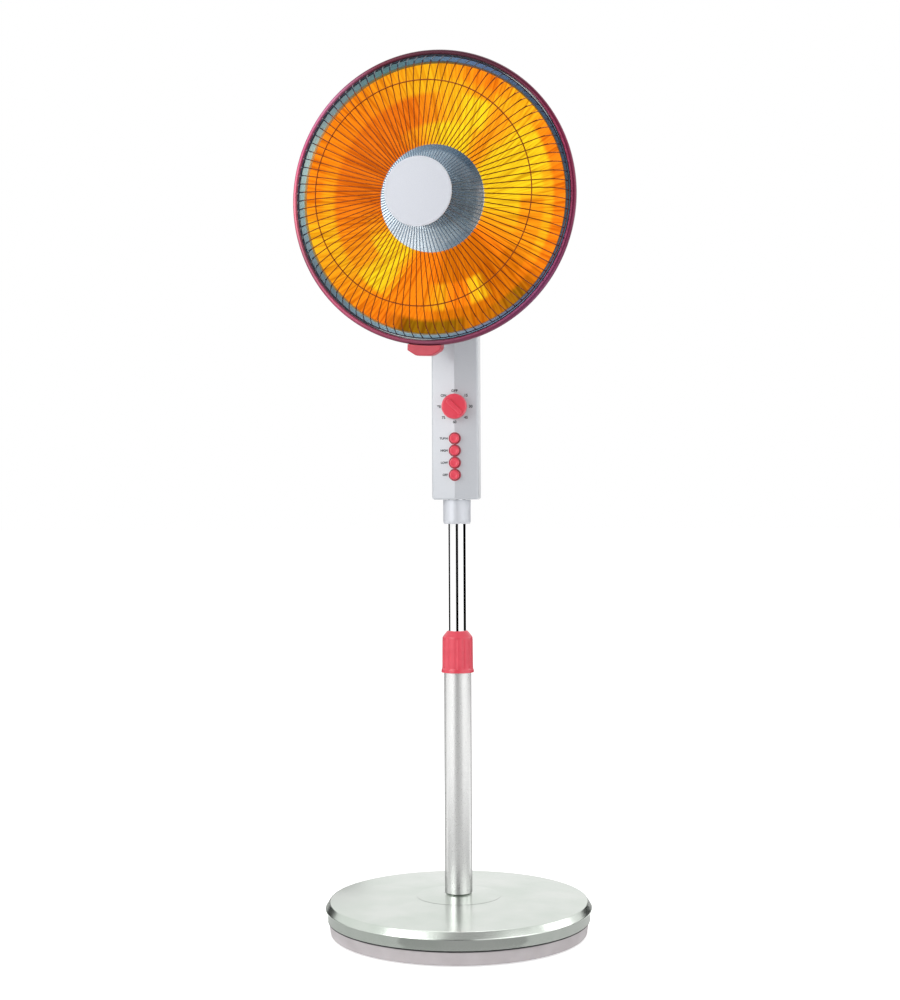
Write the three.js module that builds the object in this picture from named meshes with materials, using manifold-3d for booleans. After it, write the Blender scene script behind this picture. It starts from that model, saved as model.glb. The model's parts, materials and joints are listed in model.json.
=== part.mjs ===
// A pedestal bowl heater: a round weighted base, a two-part post with a clamp collar, a control
// housing, and a dish-shaped head that turns on the housing and tilts on its neck.
// Millimetres, +Z up, the origin under the post at floor level, the controls facing -Y.
import * as THREE from "three";
import { mergeVertices } from "three/addons/utils/BufferGeometryUtils.js";
import Module from "manifold-3d";

const wasm = await Module();
wasm.setup();

// ---- Clearances --------------------------------------------------------------------------------
const FIT_GAP = 0.3; // between pieces that touch on the real object
const RUNNING_GAP = 0.5; // between pieces that move past each other
const CUT_OVER = 1; // how far a cutting tool stands past the face that it opens
const THROUGH = 60; // half of a tool that goes right through a piece
const RADIAN = Math.PI / 180;

// ---- Facets ------------------------------------------------------------------------------------
const BASE_SIDES = 40;
const HEAD_SIDES = 44;
const POST_SIDES = 24;
const HIDDEN_SIDES = 16;
const SMALL_SIDES = 12;
const SCREW_SIDES = 10;
const BOWL_STEPS = 4;
const HEX = 6;

// ---- Base --------------------------------------------------------------------------------------
// Insets are measured inwards from the edge that carries the piece.
const COVER = {
  radius: 177,
  lipInset: 2.4,
  lipStraight: 5,
  lipRise: 14, // from the cover's edge to its widest ring
  bevelRise: 9.2,
  topInset: 6,
  crownRadius: 70,
  height: 28.2,
  wall: 1.4,
};
const TRAY = { inset: 4.7, taper: 2.2, footBevel: 2, height: 17.2, wall: 3 };
const SEAM_RING = { inset: 3.2, width: 6, height: 1.6 };
const FOOT_PAD = { radius: 11, thickness: 1.7, inset: 20, count: 4 };
const BALLAST = { radius: 112, thickness: 10 };
const TRAY_TOP_RADIUS = COVER.radius - TRAY.inset;
const TRAY_FOOT_RADIUS = TRAY_TOP_RADIUS - TRAY.taper;
const SEAM_RADIUS = COVER.radius - SEAM_RING.inset;

// ---- Post --------------------------------------------------------------------------------------
const OUTER_TUBE = { radius: 18.25, wall: 1.2, length: 294 };
const INNER_TUBE = { radius: 11.5, wall: 1, length: 388 };
const FLANGE = { footRadius: 56, edge: 1, coneRise: 2.4, fillet: 4, neckInset: 3.25, neckHeight: 8 };
const POST_BOLT = { radius: 5, headRadius: 9, headHeight: 2.7, nutHeight: 6, spareThread: 3 };
const HUB = { holeRoom: 6, coverOverlap: 15 }; // round the bolt's head, and past the tray's hole
const PLUG_HEIGHT = 20;
const BUSH = { skirt: 22, shoulder: 4, coneHeight: 36, coneInset: 1, topWall: 0.9 };
const GUIDE_BUSH_HEIGHT = 18;
// Walls are measured from the tube that the collar goes round.
const COLLAR = {
  footWall: 3.5,
  skirtRise: 5,
  waistWall: 2.35,
  shoulderWall: 1.75,
  shoulderRise: 9,
  shoulderDrop: 5,
  shoulderBevel: 2,
  topWall: 1.6,
  height: 55,
  overlap: 6,
  grooves: 12,
  grooveRadius: 1.7,
  grooveDepth: 0.9,
};
const TUBE_SHOWN = 142; // bright inner tube between the collar and the socket
const TUBE_BORE = OUTER_TUBE.radius - OUTER_TUBE.wall;
const INNER_TUBE_HOLE = INNER_TUBE.radius + RUNNING_GAP;

// ---- Control housing ---------------------------------------------------------------------------
const SOCKET = { height: 32, chamfer: 1.5 }; // as wide as the outer tube
const HOUSING = {
  width: 62,
  ridge: 26, // ridge of the V front, in front of the post axis
  cheek: 19.5, // front corners, in front of the post axis
  back: 22, // back wall, behind the post axis
  seam: 2, // seam of the two shells, behind the post axis
  overLever: 32.5, // from the turning lever to the top
  wall: 2.2,
  frontCorner: 3,
  backCorner: 9,
};
const KNOB = {
  radius: 16.7,
  height: 13,
  stepHeight: 4,
  edgeDraft: 0.5,
  edgeBevel: 1,
  gripWidth: 7,
  gripInset: 1.2,
  gripAngle: 45,
  shaftRadius: 3,
  fromBottom: 122.5,
};
const KNOB_LAND = { margin: 0.9, proud: 0.5, depth: 12 };
const BUTTON = {
  radius: 6.4,
  bevel: 1.2,
  crown: 0.5,
  proud: 4.5,
  length: 14.5,
  pitch: 16,
  travel: 3.5,
  firstFromBottom: 32.5,
  count: 4,
};
const BUTTON_LAND = { margin: 1.8, proud: 0.4, depth: 10 };
const SCREW = { radius: 1.7, headRadius: 3.6, headHeight: 2.2, length: 16, inset: 6, fromEnd: 17, sunk: 4 };
const SCREW_BOSS = { radius: 4.4, depth: 15, floor: 2, backGap: 1 };
const TIMER_UNIT = { width: 34, depth: 22, height: 34, behindRidge: 14 };
const SWITCH_BLOCK = { width: 20, depth: 18 };
const TERMINAL_BLOCK = { width: 30, depth: 14, height: 16, overTimer: 5 };
const TIP_SWITCH = { width: 18, depth: 20, height: 24, overTerminals: 12 };
const GLAND = {
  radius: 6.5,
  flangeRadius: 9,
  flange: 2.5,
  inside: 6,
  length: 24,
  bore: 3.6,
  tipWall: 1.2,
  fromBottom: 38,
};

// ---- Turning gear of the head ------------------------------------------------------------------
const HEAD_TURN_AT_REST = -9; // degrees; the head looks a little to the viewer's left
const HEAD_TILT_AT_REST = 2; // degrees; and a little down
const HEAD_SWEEP = 40; // degrees to each side of the housing's front
const CRANK_PER_TURN = 2.25; // crank degrees for a degree of the head
const MOTOR = { radius: 16, height: 20, sideGap: 1.8, overTipSwitch: 19.5 };
const CRANK = { radius: 12, height: 4, pinRadius: 1.6, pinHeight: 7 };
const LEVER = { height: 4, hubRadius: 8.5, width: 8, overCrank: 3, tip: 2 };
const NECK_SHAFT = { radius: 6, step: 2, overLever: 2 };
const NECK_BEARING = { wall: 4.5, flangeWidth: 3, flange: 2, length: 12 };
const YOKE = { margin: 2.5, plate: 8, floor: 2, earThickness: 5, earRadius: 12, pivotRise: 35 };
const TILT_BOLT = { radius: 3, headRadius: 6.5, headHeight: 4, nutHeight: 5, spareThread: 1 };
const LUG = { width: 28, radius: 11, padWidth: 58, padHeight: 36, padDepth: 8 };
// Motor shaft from the post axis: the motor lies against the housing's side wall.
const CRANK_OFFSET = HOUSING.width / 2 - HOUSING.wall - MOTOR.sideGap - MOTOR.radius;

// ---- Head, all h values forward from the plane of the ring -------------------------------------
const HEAD_FORWARD = 117; // ring plane in front of the post axis
const HEAD_RISE = 66.6; // dish axis above the tilt pivot
// The dish, the rear housing and the grille sit inside the ring's bore, each with its own gap.
const RING = {
  radius: 185.5,
  width: 6.5,
  lip: 2.5,
  lipHeight: 2,
  crown: 0.8,
  crownInset: 2,
  nose: 2,
  straight: 4, // the widest part ends this far behind the ring's plane
  taper: 4, // from there the outside draws in
  depth: 18,
};
const REFLECTOR = { rimGap: 1.5, band: 7.5, flangeDrop: 9, depth: 62, wall: 1, holeRadius: 20.6 };
const REAR = { rimGap: 2.1, rim: 12, rimHeight: 5, behindDish: 13, wall: 2 };
const VENT = { count: 12, innerRadius: 94, outerRadius: 132, width: 7 };
const CAP = { radius: 43.3, thickness: 4, crown: 3, edge: 1.2, plate: 1.5 };
const GRILLE = {
  wires: 96,
  wireWidth: 1.7,
  wireDepth: 1.8,
  underCap: 3, // the wires' inner ends lie this far under the cap's edge
  hubRise: 59,
  ringRadius: 139,
  ringRise: 46,
  shoulder: 12.4, // from the wires' outer ends inwards
  shoulderRise: 31,
  rimGap: 2.1,
  rimRise: 2.6,
  bandWidth: 2.2,
};
const RING_BORE = RING.radius - RING.width;
const REFLECTOR_RADIUS = RING_BORE - REFLECTOR.rimGap;
const DISH_RADIUS = REFLECTOR_RADIUS - REFLECTOR.band;
const REAR_RADIUS = RING_BORE - REAR.rimGap;
const REAR_DEPTH = REFLECTOR.depth + REAR.behindDish;
const SHIELD = { radius: 68, faceRadius: 42, cone: 8, rise: 4, wall: 1.2 };
const SHIELD_SCREW = { headRadius: 5, headHeight: 2.5, radius: 2, length: 14, spare: 2 };
const HOLDER = { flangeWidth: 9.7, flange: 3, behind: 2 };
const CORE = { radius: 12, back: 62 };
const COIL = { wire: 1.5, overCore: 1.5, turns: 4, pitch: 12, fromBack: 6, steps: 24, sides: 6 };
const COIL_RADIUS = CORE.radius + COIL.overCore + COIL.wire;
const CUTOUT = { radius: 8, height: 5, circle: 44, behind: 3 };
const CHIN_CLIP = {
  width: 44,
  height: 13,
  depth: 14,
  proud: 3,
  angle: -3.6,
  seatCover: 8,
  nearCut: [11.5, 6.5], // corner taken off at the viewer's left, then at the right
  farCut: [12, 8.5],
  slope: 0.5,
};

// ---- Heights worked out from the sizes above ---------------------------------------------------
const TRAY_BOTTOM = FOOT_PAD.thickness + FIT_GAP;
const TRAY_TOP = TRAY_BOTTOM + TRAY.height;
const SEAM_TOP = TRAY_TOP + FIT_GAP + SEAM_RING.height;
const COVER_BOTTOM = SEAM_TOP + FIT_GAP;
const COVER_TOP = COVER_BOTTOM + COVER.height;
const BALLAST_BOTTOM = TRAY_BOTTOM + TRAY.wall + FIT_GAP;
const FLANGE_BOTTOM = COVER_TOP + FIT_GAP;
const TUBE_BOTTOM = FLANGE_BOTTOM + FLANGE.neckHeight + FIT_GAP;
const TUBE_TOP = TUBE_BOTTOM + OUTER_TUBE.length;
const PLUG_TOP = TUBE_BOTTOM + PLUG_HEIGHT;
const COLLAR_BOTTOM = TUBE_TOP - COLLAR.overlap;
const COLLAR_TOP = COLLAR_BOTTOM + COLLAR.height;
const SOCKET_BOTTOM = COLLAR_TOP + TUBE_SHOWN;
const HOUSING_BOTTOM = SOCKET_BOTTOM + SOCKET.height + FIT_GAP;
const FIRST_BUTTON_HEIGHT = HOUSING_BOTTOM + BUTTON.firstFromBottom;
const SWITCH_BOTTOM = FIRST_BUTTON_HEIGHT - BUTTON.pitch / 2;
const INNER_TUBE_TOP = SWITCH_BOTTOM - RUNNING_GAP;
const KNOB_HEIGHT = HOUSING_BOTTOM + KNOB.fromBottom;
const TERMINAL_BOTTOM = KNOB_HEIGHT + TIMER_UNIT.height / 2 + TERMINAL_BLOCK.overTimer;
const TIP_SWITCH_BOTTOM = TERMINAL_BOTTOM + TERMINAL_BLOCK.height + TIP_SWITCH.overTerminals;
const MOTOR_BOTTOM = TIP_SWITCH_BOTTOM + TIP_SWITCH.height + MOTOR.overTipSwitch;
const MOTOR_TOP = MOTOR_BOTTOM + MOTOR.height;
const CRANK_BOTTOM = MOTOR_TOP + RUNNING_GAP;
const CRANK_TOP = CRANK_BOTTOM + CRANK.height;
const LEVER_BOTTOM = CRANK_TOP + LEVER.overCrank;
const LEVER_TOP = LEVER_BOTTOM + LEVER.height;
const HOUSING_TOP = LEVER_TOP + HOUSING.overLever;
const YOKE_BOTTOM = HOUSING_TOP + NECK_BEARING.flange + 2 * FIT_GAP + RUNNING_GAP;
const PIVOT_HEIGHT = YOKE_BOTTOM + YOKE.pivotRise;

// ---- Finishes ----------------------------------------------------------------------------------
const FINISH = {
  silverMetal: { color: "#d3d9d4", roughness: 0.22, metalness: 0.85 },
  paleTray: { color: "#c4bdbe", roughness: 0.5, metalness: 0 },
  black: { color: "#1c1d1f", roughness: 0.6, metalness: 0 },
  rubber: { color: "#2a2a2b", roughness: 0.9, metalness: 0 },
  iron: { color: "#4a4a4c", roughness: 0.8, metalness: 0.5 },
  steel: { color: "#a9adb0", roughness: 0.35, metalness: 0.9 },
  whitePaint: { color: "#eceae6", roughness: 0.3, metalness: 0.1 },
  chrome: { color: "#e6e8ea", roughness: 0.08, metalness: 1 },
  coral: { color: "#e8475a", roughness: 0.38, metalness: 0 },
  ringCoral: { color: "#c9506c", roughness: 0.35, metalness: 0 },
  housing: { color: "#dfe0e4", roughness: 0.35, metalness: 0.1 },
  nylon: { color: "#e6e2d8", roughness: 0.6, metalness: 0 },
  blackPlastic: { color: "#26272a", roughness: 0.5, metalness: 0 },
  gold: { color: "#f09a1e", roughness: 0.25, metalness: 0.7 },
  wire: { color: "#6d747c", roughness: 0.25, metalness: 0.9 },
  capGrey: { color: "#d8dce4", roughness: 0.35, metalness: 0.1 },
  shield: { color: "#8fa0b0", roughness: 0.3, metalness: 0.8 },
  ceramic: { color: "#f1ece0", roughness: 0.7, metalness: 0 },
  hotWire: { color: "#d9702a", roughness: 0.5, metalness: 0.6 },
};

const heater = new THREE.Group();

function piece(name, geometry, finish, parent = heater) {
  const mesh = new THREE.Mesh(geometry, new THREE.MeshStandardMaterial(FINISH[finish]));
  mesh.name = name;
  parent.add(mesh);
  return mesh;
}

function nested(parent, position = [0, 0, 0]) {
  const group = new THREE.Group();
  group.position.set(...position);
  parent.add(group);
  return group;
}

// ---- Solids ------------------------------------------------------------------------------------
// Turns an outline of [radius, height] points about +Z. It closes on itself, or along the axis.
function turned(outline, sides = POST_SIDES) {
  let area = 0;
  outline.forEach(([r, z], i) => {
    const [nextR, nextZ] = outline[(i + 1) % outline.length];
    area += r * nextZ - nextR * z;
  });
  const points = outline.map(([r, z]) => new THREE.Vector2(r, z));
  if (area < 0) points.reverse();
  const onAxis = points.filter((point) => point.x === 0).length;
  if (onAxis === 0) points.push(points[0].clone());
  while (onAxis === 2 && (points[0].x !== 0 || points.at(-1).x !== 0)) points.push(points.shift());
  return new THREE.LatheGeometry(points, sides).rotateX(Math.PI / 2);
}

function ring(innerRadius, outerRadius, bottom, top, sides = POST_SIDES) {
  return turned(
    [[innerRadius, bottom], [outerRadius, bottom], [outerRadius, top], [innerRadius, top]],
    sides,
  );
}

function disc(radius, bottom, top, sides = POST_SIDES) {
  return turned([[0, bottom], [radius, bottom], [radius, top], [0, top]], sides);
}

// A block between two corners.
function block([lowX, lowY, lowZ], [highX, highY, highZ]) {
  const size = [highX - lowX, highY - lowY, highZ - lowZ];
  const middle = [(lowX + highX) / 2, (lowY + highY) / 2, (lowZ + highZ) / 2];
  return new THREE.BoxGeometry(...size).translate(...middle);
}

// Turns a solid made about +Z so that it points to the front, at the given place.
function facingFront(geometry, x = 0, y = 0, z = 0) {
  return geometry.rotateX(Math.PI / 2).translate(x, y, z);
}

// Turns a solid made about +Z so that it points along +X.
function facingSide(geometry, x = 0, y = 0, z = 0) {
  return geometry.rotateY(Math.PI / 2).translate(x, y, z);
}

function solid(geometry) {
  const bare = geometry.clone();
  bare.deleteAttribute("normal");
  bare.deleteAttribute("uv");
  const merged = mergeVertices(bare, 1e-4);
  const mesh = new wasm.Mesh({
    numProp: 3,
    vertProperties: merged.attributes.position.array,
    triVerts: new Uint32Array(merged.index.array),
  });
  return new wasm.Manifold(mesh);
}

function geometryOf(manifold) {
  const { vertProperties, triVerts } = manifold.getMesh();
  const geometry = new THREE.BufferGeometry();
  geometry.setAttribute("position", new THREE.BufferAttribute(vertProperties, 3));
  geometry.setIndex(new THREE.BufferAttribute(triVerts, 1));
  return geometry;
}

const joined = (geometries) => geometryOf(geometries.map(solid).reduce((all, next) => all.add(next)));

const cut = (geometry, tools) =>
  geometryOf(tools.map(solid).reduce((rest, tool) => rest.subtract(tool), solid(geometry)));

const common = (geometry, tool) => geometryOf(solid(geometry).intersect(solid(tool)));

// ---- Base --------------------------------------------------------------------------------------
const spindleHole = POST_BOLT.radius + FIT_GAP;

const trayHole = POST_BOLT.headRadius + HUB.holeRoom;

piece("hub_cover", disc(trayHole + HUB.coverOverlap, 0, FOOT_PAD.thickness), "blackPlastic");

for (let i = 0; i < FOOT_PAD.count; i++) {
  const angle = (i + 0.5) * ((2 * Math.PI) / FOOT_PAD.count);
  const circle = TRAY_FOOT_RADIUS - FOOT_PAD.inset;
  const pad = piece(`foot_pad_${i + 1}`, disc(FOOT_PAD.radius, 0, FOOT_PAD.thickness, SMALL_SIDES), "rubber");
  pad.position.set(circle * Math.cos(angle), circle * Math.sin(angle), 0);
}

piece(
  "base_tray",
  turned(
    [
      [trayHole, TRAY_BOTTOM],
      [TRAY_FOOT_RADIUS - TRAY.footBevel, TRAY_BOTTOM],
      [TRAY_FOOT_RADIUS, TRAY_BOTTOM + TRAY.footBevel],
      [TRAY_TOP_RADIUS, TRAY_TOP],
      [TRAY_TOP_RADIUS - TRAY.wall, TRAY_TOP],
      [TRAY_FOOT_RADIUS - TRAY.wall, TRAY_BOTTOM + TRAY.wall],
      [trayHole, TRAY_BOTTOM + TRAY.wall],
    ],
    BASE_SIDES,
  ),
  "paleTray",
);

piece(
  "base_ballast",
  ring(spindleHole, BALLAST.radius, BALLAST_BOTTOM, BALLAST_BOTTOM + BALLAST.thickness, BASE_SIDES / 2),
  "iron",
);

piece(
  "base_seam_ring",
  ring(SEAM_RADIUS - SEAM_RING.width, SEAM_RADIUS, TRAY_TOP + FIT_GAP, SEAM_TOP, BASE_SIDES),
  "black",
);

const coverLipRadius = COVER.radius - COVER.lipInset;
const coverTopRadius = COVER.radius - COVER.topInset;
const coverKneeWall = COVER.wall * Math.SQRT2; // across the bend at the rim
const coverStraightTop = COVER_BOTTOM + COVER.lipStraight;
const coverKnee = COVER_BOTTOM + COVER.lipRise;
const coverShoulder = coverKnee + COVER.bevelRise;
piece(
  "base_cover",
  turned(
    [
      [coverLipRadius, COVER_BOTTOM],
      [coverLipRadius, coverStraightTop],
      [COVER.radius, coverKnee],
      [coverTopRadius, coverShoulder],
      [COVER.crownRadius, COVER_TOP],
      [spindleHole, COVER_TOP],
      [spindleHole, COVER_TOP - COVER.wall],
      [COVER.crownRadius, COVER_TOP - COVER.wall],
      [coverTopRadius - COVER.wall, coverShoulder - COVER.wall],
      [COVER.radius - coverKneeWall, coverKnee],
      [coverLipRadius - COVER.wall, coverStraightTop],
      [coverLipRadius - COVER.wall, COVER_BOTTOM],
    ],
    BASE_SIDES,
  ),
  "silverMetal",
);

// ---- Post --------------------------------------------------------------------------------------
const flangeNeckRadius = OUTER_TUBE.radius - FLANGE.neckInset;
piece(
  "post_flange",
  turned(
    [
      [spindleHole, FLANGE_BOTTOM],
      [FLANGE.footRadius, FLANGE_BOTTOM],
      [FLANGE.footRadius, FLANGE_BOTTOM + FLANGE.edge],
      [flangeNeckRadius + FLANGE.fillet, FLANGE_BOTTOM + FLANGE.coneRise],
      [flangeNeckRadius, FLANGE_BOTTOM + 2 * FLANGE.coneRise],
      [flangeNeckRadius, FLANGE_BOTTOM + FLANGE.neckHeight],
      [spindleHole, FLANGE_BOTTOM + FLANGE.neckHeight],
    ],
    BASE_SIDES,
  ),
  "silverMetal",
);

piece("outer_tube", ring(TUBE_BORE, OUTER_TUBE.radius, TUBE_BOTTOM, TUBE_TOP), "whitePaint");
piece("tube_plug", ring(spindleHole, TUBE_BORE - FIT_GAP, TUBE_BOTTOM, PLUG_TOP, HIDDEN_SIDES), "iron");

const boltHeadTop = BALLAST_BOTTOM - FIT_GAP;
const postNutBottom = PLUG_TOP + FIT_GAP;
const postNutTop = postNutBottom + POST_BOLT.nutHeight;
piece(
  "post_bolt",
  joined([
    disc(POST_BOLT.headRadius, boltHeadTop - POST_BOLT.headHeight, boltHeadTop, HEX),
    disc(POST_BOLT.radius, boltHeadTop - CUT_OVER, postNutTop + POST_BOLT.spareThread, SMALL_SIDES),
  ]),
  "steel",
);
piece(
  "post_nut",
  cut(disc(POST_BOLT.headRadius, postNutBottom, postNutTop, HEX), [
    disc(spindleHole, postNutBottom - CUT_OVER, postNutTop + CUT_OVER, SMALL_SIDES),
  ]),
  "steel",
);

const shoulderBottom = TUBE_TOP + FIT_GAP;
const coneBottom = shoulderBottom + BUSH.shoulder;
const coneTop = coneBottom + BUSH.coneHeight;
const coneFootRadius = TUBE_BORE - BUSH.coneInset;
const coneTopRadius = INNER_TUBE_HOLE + BUSH.topWall;
piece(
  "clamp_bush",
  turned([
    [INNER_TUBE_HOLE, TUBE_TOP - BUSH.skirt],
    [TUBE_BORE - FIT_GAP, TUBE_TOP - BUSH.skirt],
    [TUBE_BORE - FIT_GAP, shoulderBottom],
    [OUTER_TUBE.radius, shoulderBottom],
    [OUTER_TUBE.radius, coneBottom],
    [coneFootRadius, coneBottom],
    [coneTopRadius, coneTop],
    [INNER_TUBE_HOLE, coneTop],
  ], HIDDEN_SIDES),
  "nylon",
);

const collarBore = OUTER_TUBE.radius + RUNNING_GAP;
const collarBoreTop = coneBottom + RUNNING_GAP;
const shoulderRadius = OUTER_TUBE.radius + COLLAR.shoulderWall;
const collarBody = turned([
  [collarBore, COLLAR_BOTTOM],
  [OUTER_TUBE.radius + COLLAR.footWall, COLLAR_BOTTOM],
  [OUTER_TUBE.radius + COLLAR.waistWall, COLLAR_BOTTOM + COLLAR.skirtRise],
  [shoulderRadius, COLLAR_TOP - COLLAR.shoulderRise],
  [shoulderRadius - COLLAR.shoulderBevel, COLLAR_TOP - COLLAR.shoulderDrop],
  [INNER_TUBE_HOLE + COLLAR.topWall, COLLAR_TOP],
  [INNER_TUBE_HOLE, COLLAR_TOP],
  [INNER_TUBE_HOLE, coneTop + RUNNING_GAP],
  [coneTopRadius + RUNNING_GAP, coneTop + RUNNING_GAP],
  [coneFootRadius + RUNNING_GAP, collarBoreTop],
  [collarBore, collarBoreTop],
]);
const collarGrooves = [];
for (let i = 0; i < COLLAR.grooves; i++) {
  const angle = (i * 2 * Math.PI) / COLLAR.grooves;
  const reach = shoulderRadius + COLLAR.grooveRadius - COLLAR.grooveDepth;
  const grooveTop = COLLAR_TOP - COLLAR.shoulderRise;
  const groove = disc(COLLAR.grooveRadius, COLLAR_BOTTOM + COLLAR.skirtRise, grooveTop, HEX);
  collarGrooves.push(groove.translate(reach * Math.cos(angle), reach * Math.sin(angle), 0));
}
piece("clamp_collar", cut(collarBody, collarGrooves), "coral");

// ---- Mast: what slides up and down ---------------------------------------------------------------
const innerTubeBottom = INNER_TUBE_TOP - INNER_TUBE.length;
piece(
  "inner_tube",
  ring(INNER_TUBE.radius - INNER_TUBE.wall, INNER_TUBE.radius, innerTubeBottom, INNER_TUBE_TOP),
  "chrome",
);
piece(
  "guide_bush",
  ring(
    INNER_TUBE.radius + FIT_GAP,
    TUBE_BORE - RUNNING_GAP,
    innerTubeBottom,
    innerTubeBottom + GUIDE_BUSH_HEIGHT,
    HIDDEN_SIDES,
  ),
  "nylon",
);

const socketTop = SOCKET_BOTTOM + SOCKET.height;
piece(
  "post_socket",
  turned([
    [INNER_TUBE.radius + FIT_GAP, SOCKET_BOTTOM],
    [OUTER_TUBE.radius - SOCKET.chamfer, SOCKET_BOTTOM],
    [OUTER_TUBE.radius, SOCKET_BOTTOM + SOCKET.chamfer],
    [OUTER_TUBE.radius, socketTop],
    [INNER_TUBE.radius + FIT_GAP, socketTop],
  ]),
  "whitePaint",
);

// The housing's plan: a V front with small corners and a back with round ones.
function housingPlan(inset) {
  const side = HOUSING.width / 2 - inset;
  const back = HOUSING.back - inset;
  const cheek = -(HOUSING.cheek - inset);
  const ridge = -(HOUSING.ridge - inset);
  const frontCorner = HOUSING.frontCorner;
  const backCorner = HOUSING.backCorner - inset;
  const cornerY = cheek + ((ridge - cheek) * frontCorner) / side;
  const plan = new THREE.Shape();
  plan.moveTo(0, ridge);
  plan.lineTo(side - frontCorner, cornerY);
  plan.quadraticCurveTo(side, cheek, side, cheek + frontCorner);
  plan.lineTo(side, back - backCorner);
  plan.absarc(side - backCorner, back - backCorner, backCorner, 0, Math.PI / 2, false);
  plan.absarc(-side + backCorner, back - backCorner, backCorner, Math.PI / 2, Math.PI, false);
  plan.lineTo(-side, cheek + frontCorner);
  plan.quadraticCurveTo(-side, cheek, -side + frontCorner, cornerY);
  return plan;
}

function upright(plan, bottom, top) {
  const settings = { depth: top - bottom, bevelEnabled: false, curveSegments: 4 };
  return new THREE.ExtrudeGeometry(plan, settings).translate(0, 0, bottom);
}

const housingOuter = upright(housingPlan(0), HOUSING_BOTTOM, HOUSING_TOP);
const housingFloor = HOUSING_BOTTOM + HOUSING.wall;
const housingCeiling = HOUSING_TOP - HOUSING.wall;
const housingInner = upright(housingPlan(HOUSING.wall), housingFloor, housingCeiling);
const buttonHeights = [];
for (let i = 0; i < BUTTON.count; i++) buttonHeights.push(FIRST_BUTTON_HEIGHT + i * BUTTON.pitch);
const knobLandFront = -(HOUSING.ridge + KNOB_LAND.proud);
const buttonLandFront = -(HOUSING.ridge + BUTTON_LAND.proud);

// A round bar that reaches back from the given front, along +Y.
function frontBar(radius, front, length, x, z, sides = SMALL_SIDES) {
  return facingFront(disc(radius, -length, 0, sides), x, front, z);
}

const knobLandRadius = KNOB.radius + KNOB_LAND.margin;
const buttonLandRadius = BUTTON.radius + BUTTON_LAND.margin;
const lands = [frontBar(knobLandRadius, knobLandFront, KNOB_LAND.depth, 0, KNOB_HEIGHT, POST_SIDES)];
for (const z of buttonHeights) lands.push(frontBar(buttonLandRadius, buttonLandFront, BUTTON_LAND.depth, 0, z));

const screwX = HOUSING.width / 2 - SCREW.inset;
const screwHeights = [HOUSING_BOTTOM + SCREW.fromEnd, HOUSING_TOP - SCREW.fromEnd];
const screwPlaces = screwHeights.flatMap((z) => [[-screwX, z], [screwX, z]]);
const bossFront = HOUSING.seam - FIT_GAP / 2 - SCREW_BOSS.depth;
const rearBossDepth = HOUSING.back - HOUSING.seam - SCREW_BOSS.backGap;
const frontBosses = [];
const rearBosses = [];
const screwHoles = [];
for (const [x, z] of screwPlaces) {
  frontBosses.push(frontBar(SCREW_BOSS.radius, bossFront, 2 * SCREW_BOSS.depth, x, z));
  rearBosses.push(frontBar(SCREW_BOSS.radius, HOUSING.seam, rearBossDepth, x, z));
  screwHoles.push(frontBar(SCREW.radius + FIT_GAP, bossFront + SCREW_BOSS.floor, THROUGH, x, z, SCREW_SIDES));
}
const headSeat = HOUSING.back - SCREW.headHeight - SCREW.sunk;
const headHoles = screwPlaces.map(([x, z]) => frontBar(SCREW.headRadius + FIT_GAP, headSeat, THROUGH, x, z));

const shell = solid(housingOuter).add(solid(joined(lands))).subtract(solid(housingInner));
const frontHalf = block(
  [-HOUSING.width, -2 * HOUSING.ridge, HOUSING_BOTTOM - CUT_OVER],
  [HOUSING.width, HOUSING.seam - FIT_GAP / 2, HOUSING_TOP + CUT_OVER],
);
const rearHalf = block(
  [-HOUSING.width, HOUSING.seam + FIT_GAP / 2, HOUSING_BOTTOM - CUT_OVER],
  [HOUSING.width, 2 * HOUSING.back, HOUSING_TOP + CUT_OVER],
);
const bearingRadius = NECK_SHAFT.radius + RUNNING_GAP + NECK_BEARING.wall;
const shaftHole = disc(INNER_TUBE.radius + FIT_GAP, HOUSING_BOTTOM - CUT_OVER, housingFloor + CUT_OVER);
const bearingHole = disc(bearingRadius + FIT_GAP, housingCeiling - CUT_OVER, HOUSING_TOP + CUT_OVER);

const buttonHoles = buttonHeights.map((z) => frontBar(BUTTON.radius + FIT_GAP, -THROUGH, THROUGH, 0, z));
const knobHole = frontBar(KNOB.shaftRadius + RUNNING_GAP, -THROUGH, THROUGH, 0, KNOB_HEIGHT);

const frontShell = cut(
  geometryOf(shell.add(solid(joined(frontBosses))).intersect(solid(frontHalf))),
  [shaftHole, bearingHole, knobHole, ...buttonHoles, ...screwHoles],
);
piece("housing_front", frontShell, "housing");

const glandHeight = HOUSING_BOTTOM + GLAND.fromBottom;
const glandHole = frontBar(GLAND.radius + FIT_GAP, HOUSING.back - GLAND.inside, THROUGH, 0, glandHeight);
const rearShell = cut(
  geometryOf(shell.add(solid(joined(rearBosses))).intersect(solid(rearHalf))),
  [shaftHole, bearingHole, glandHole, ...headHoles, ...screwHoles],
);
piece("housing_rear", rearShell, "housing");

screwPlaces.forEach(([x, z], i) => {
  const seat = headSeat + FIT_GAP;
  const screw = joined([
    frontBar(SCREW.headRadius, seat, SCREW.headHeight, x, z),
    frontBar(SCREW.radius, seat - SCREW.length, SCREW.length + CUT_OVER, x, z, SCREW_SIDES),
  ]);
  piece(`housing_screw_${i + 1}`, screw, "steel");
});

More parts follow.
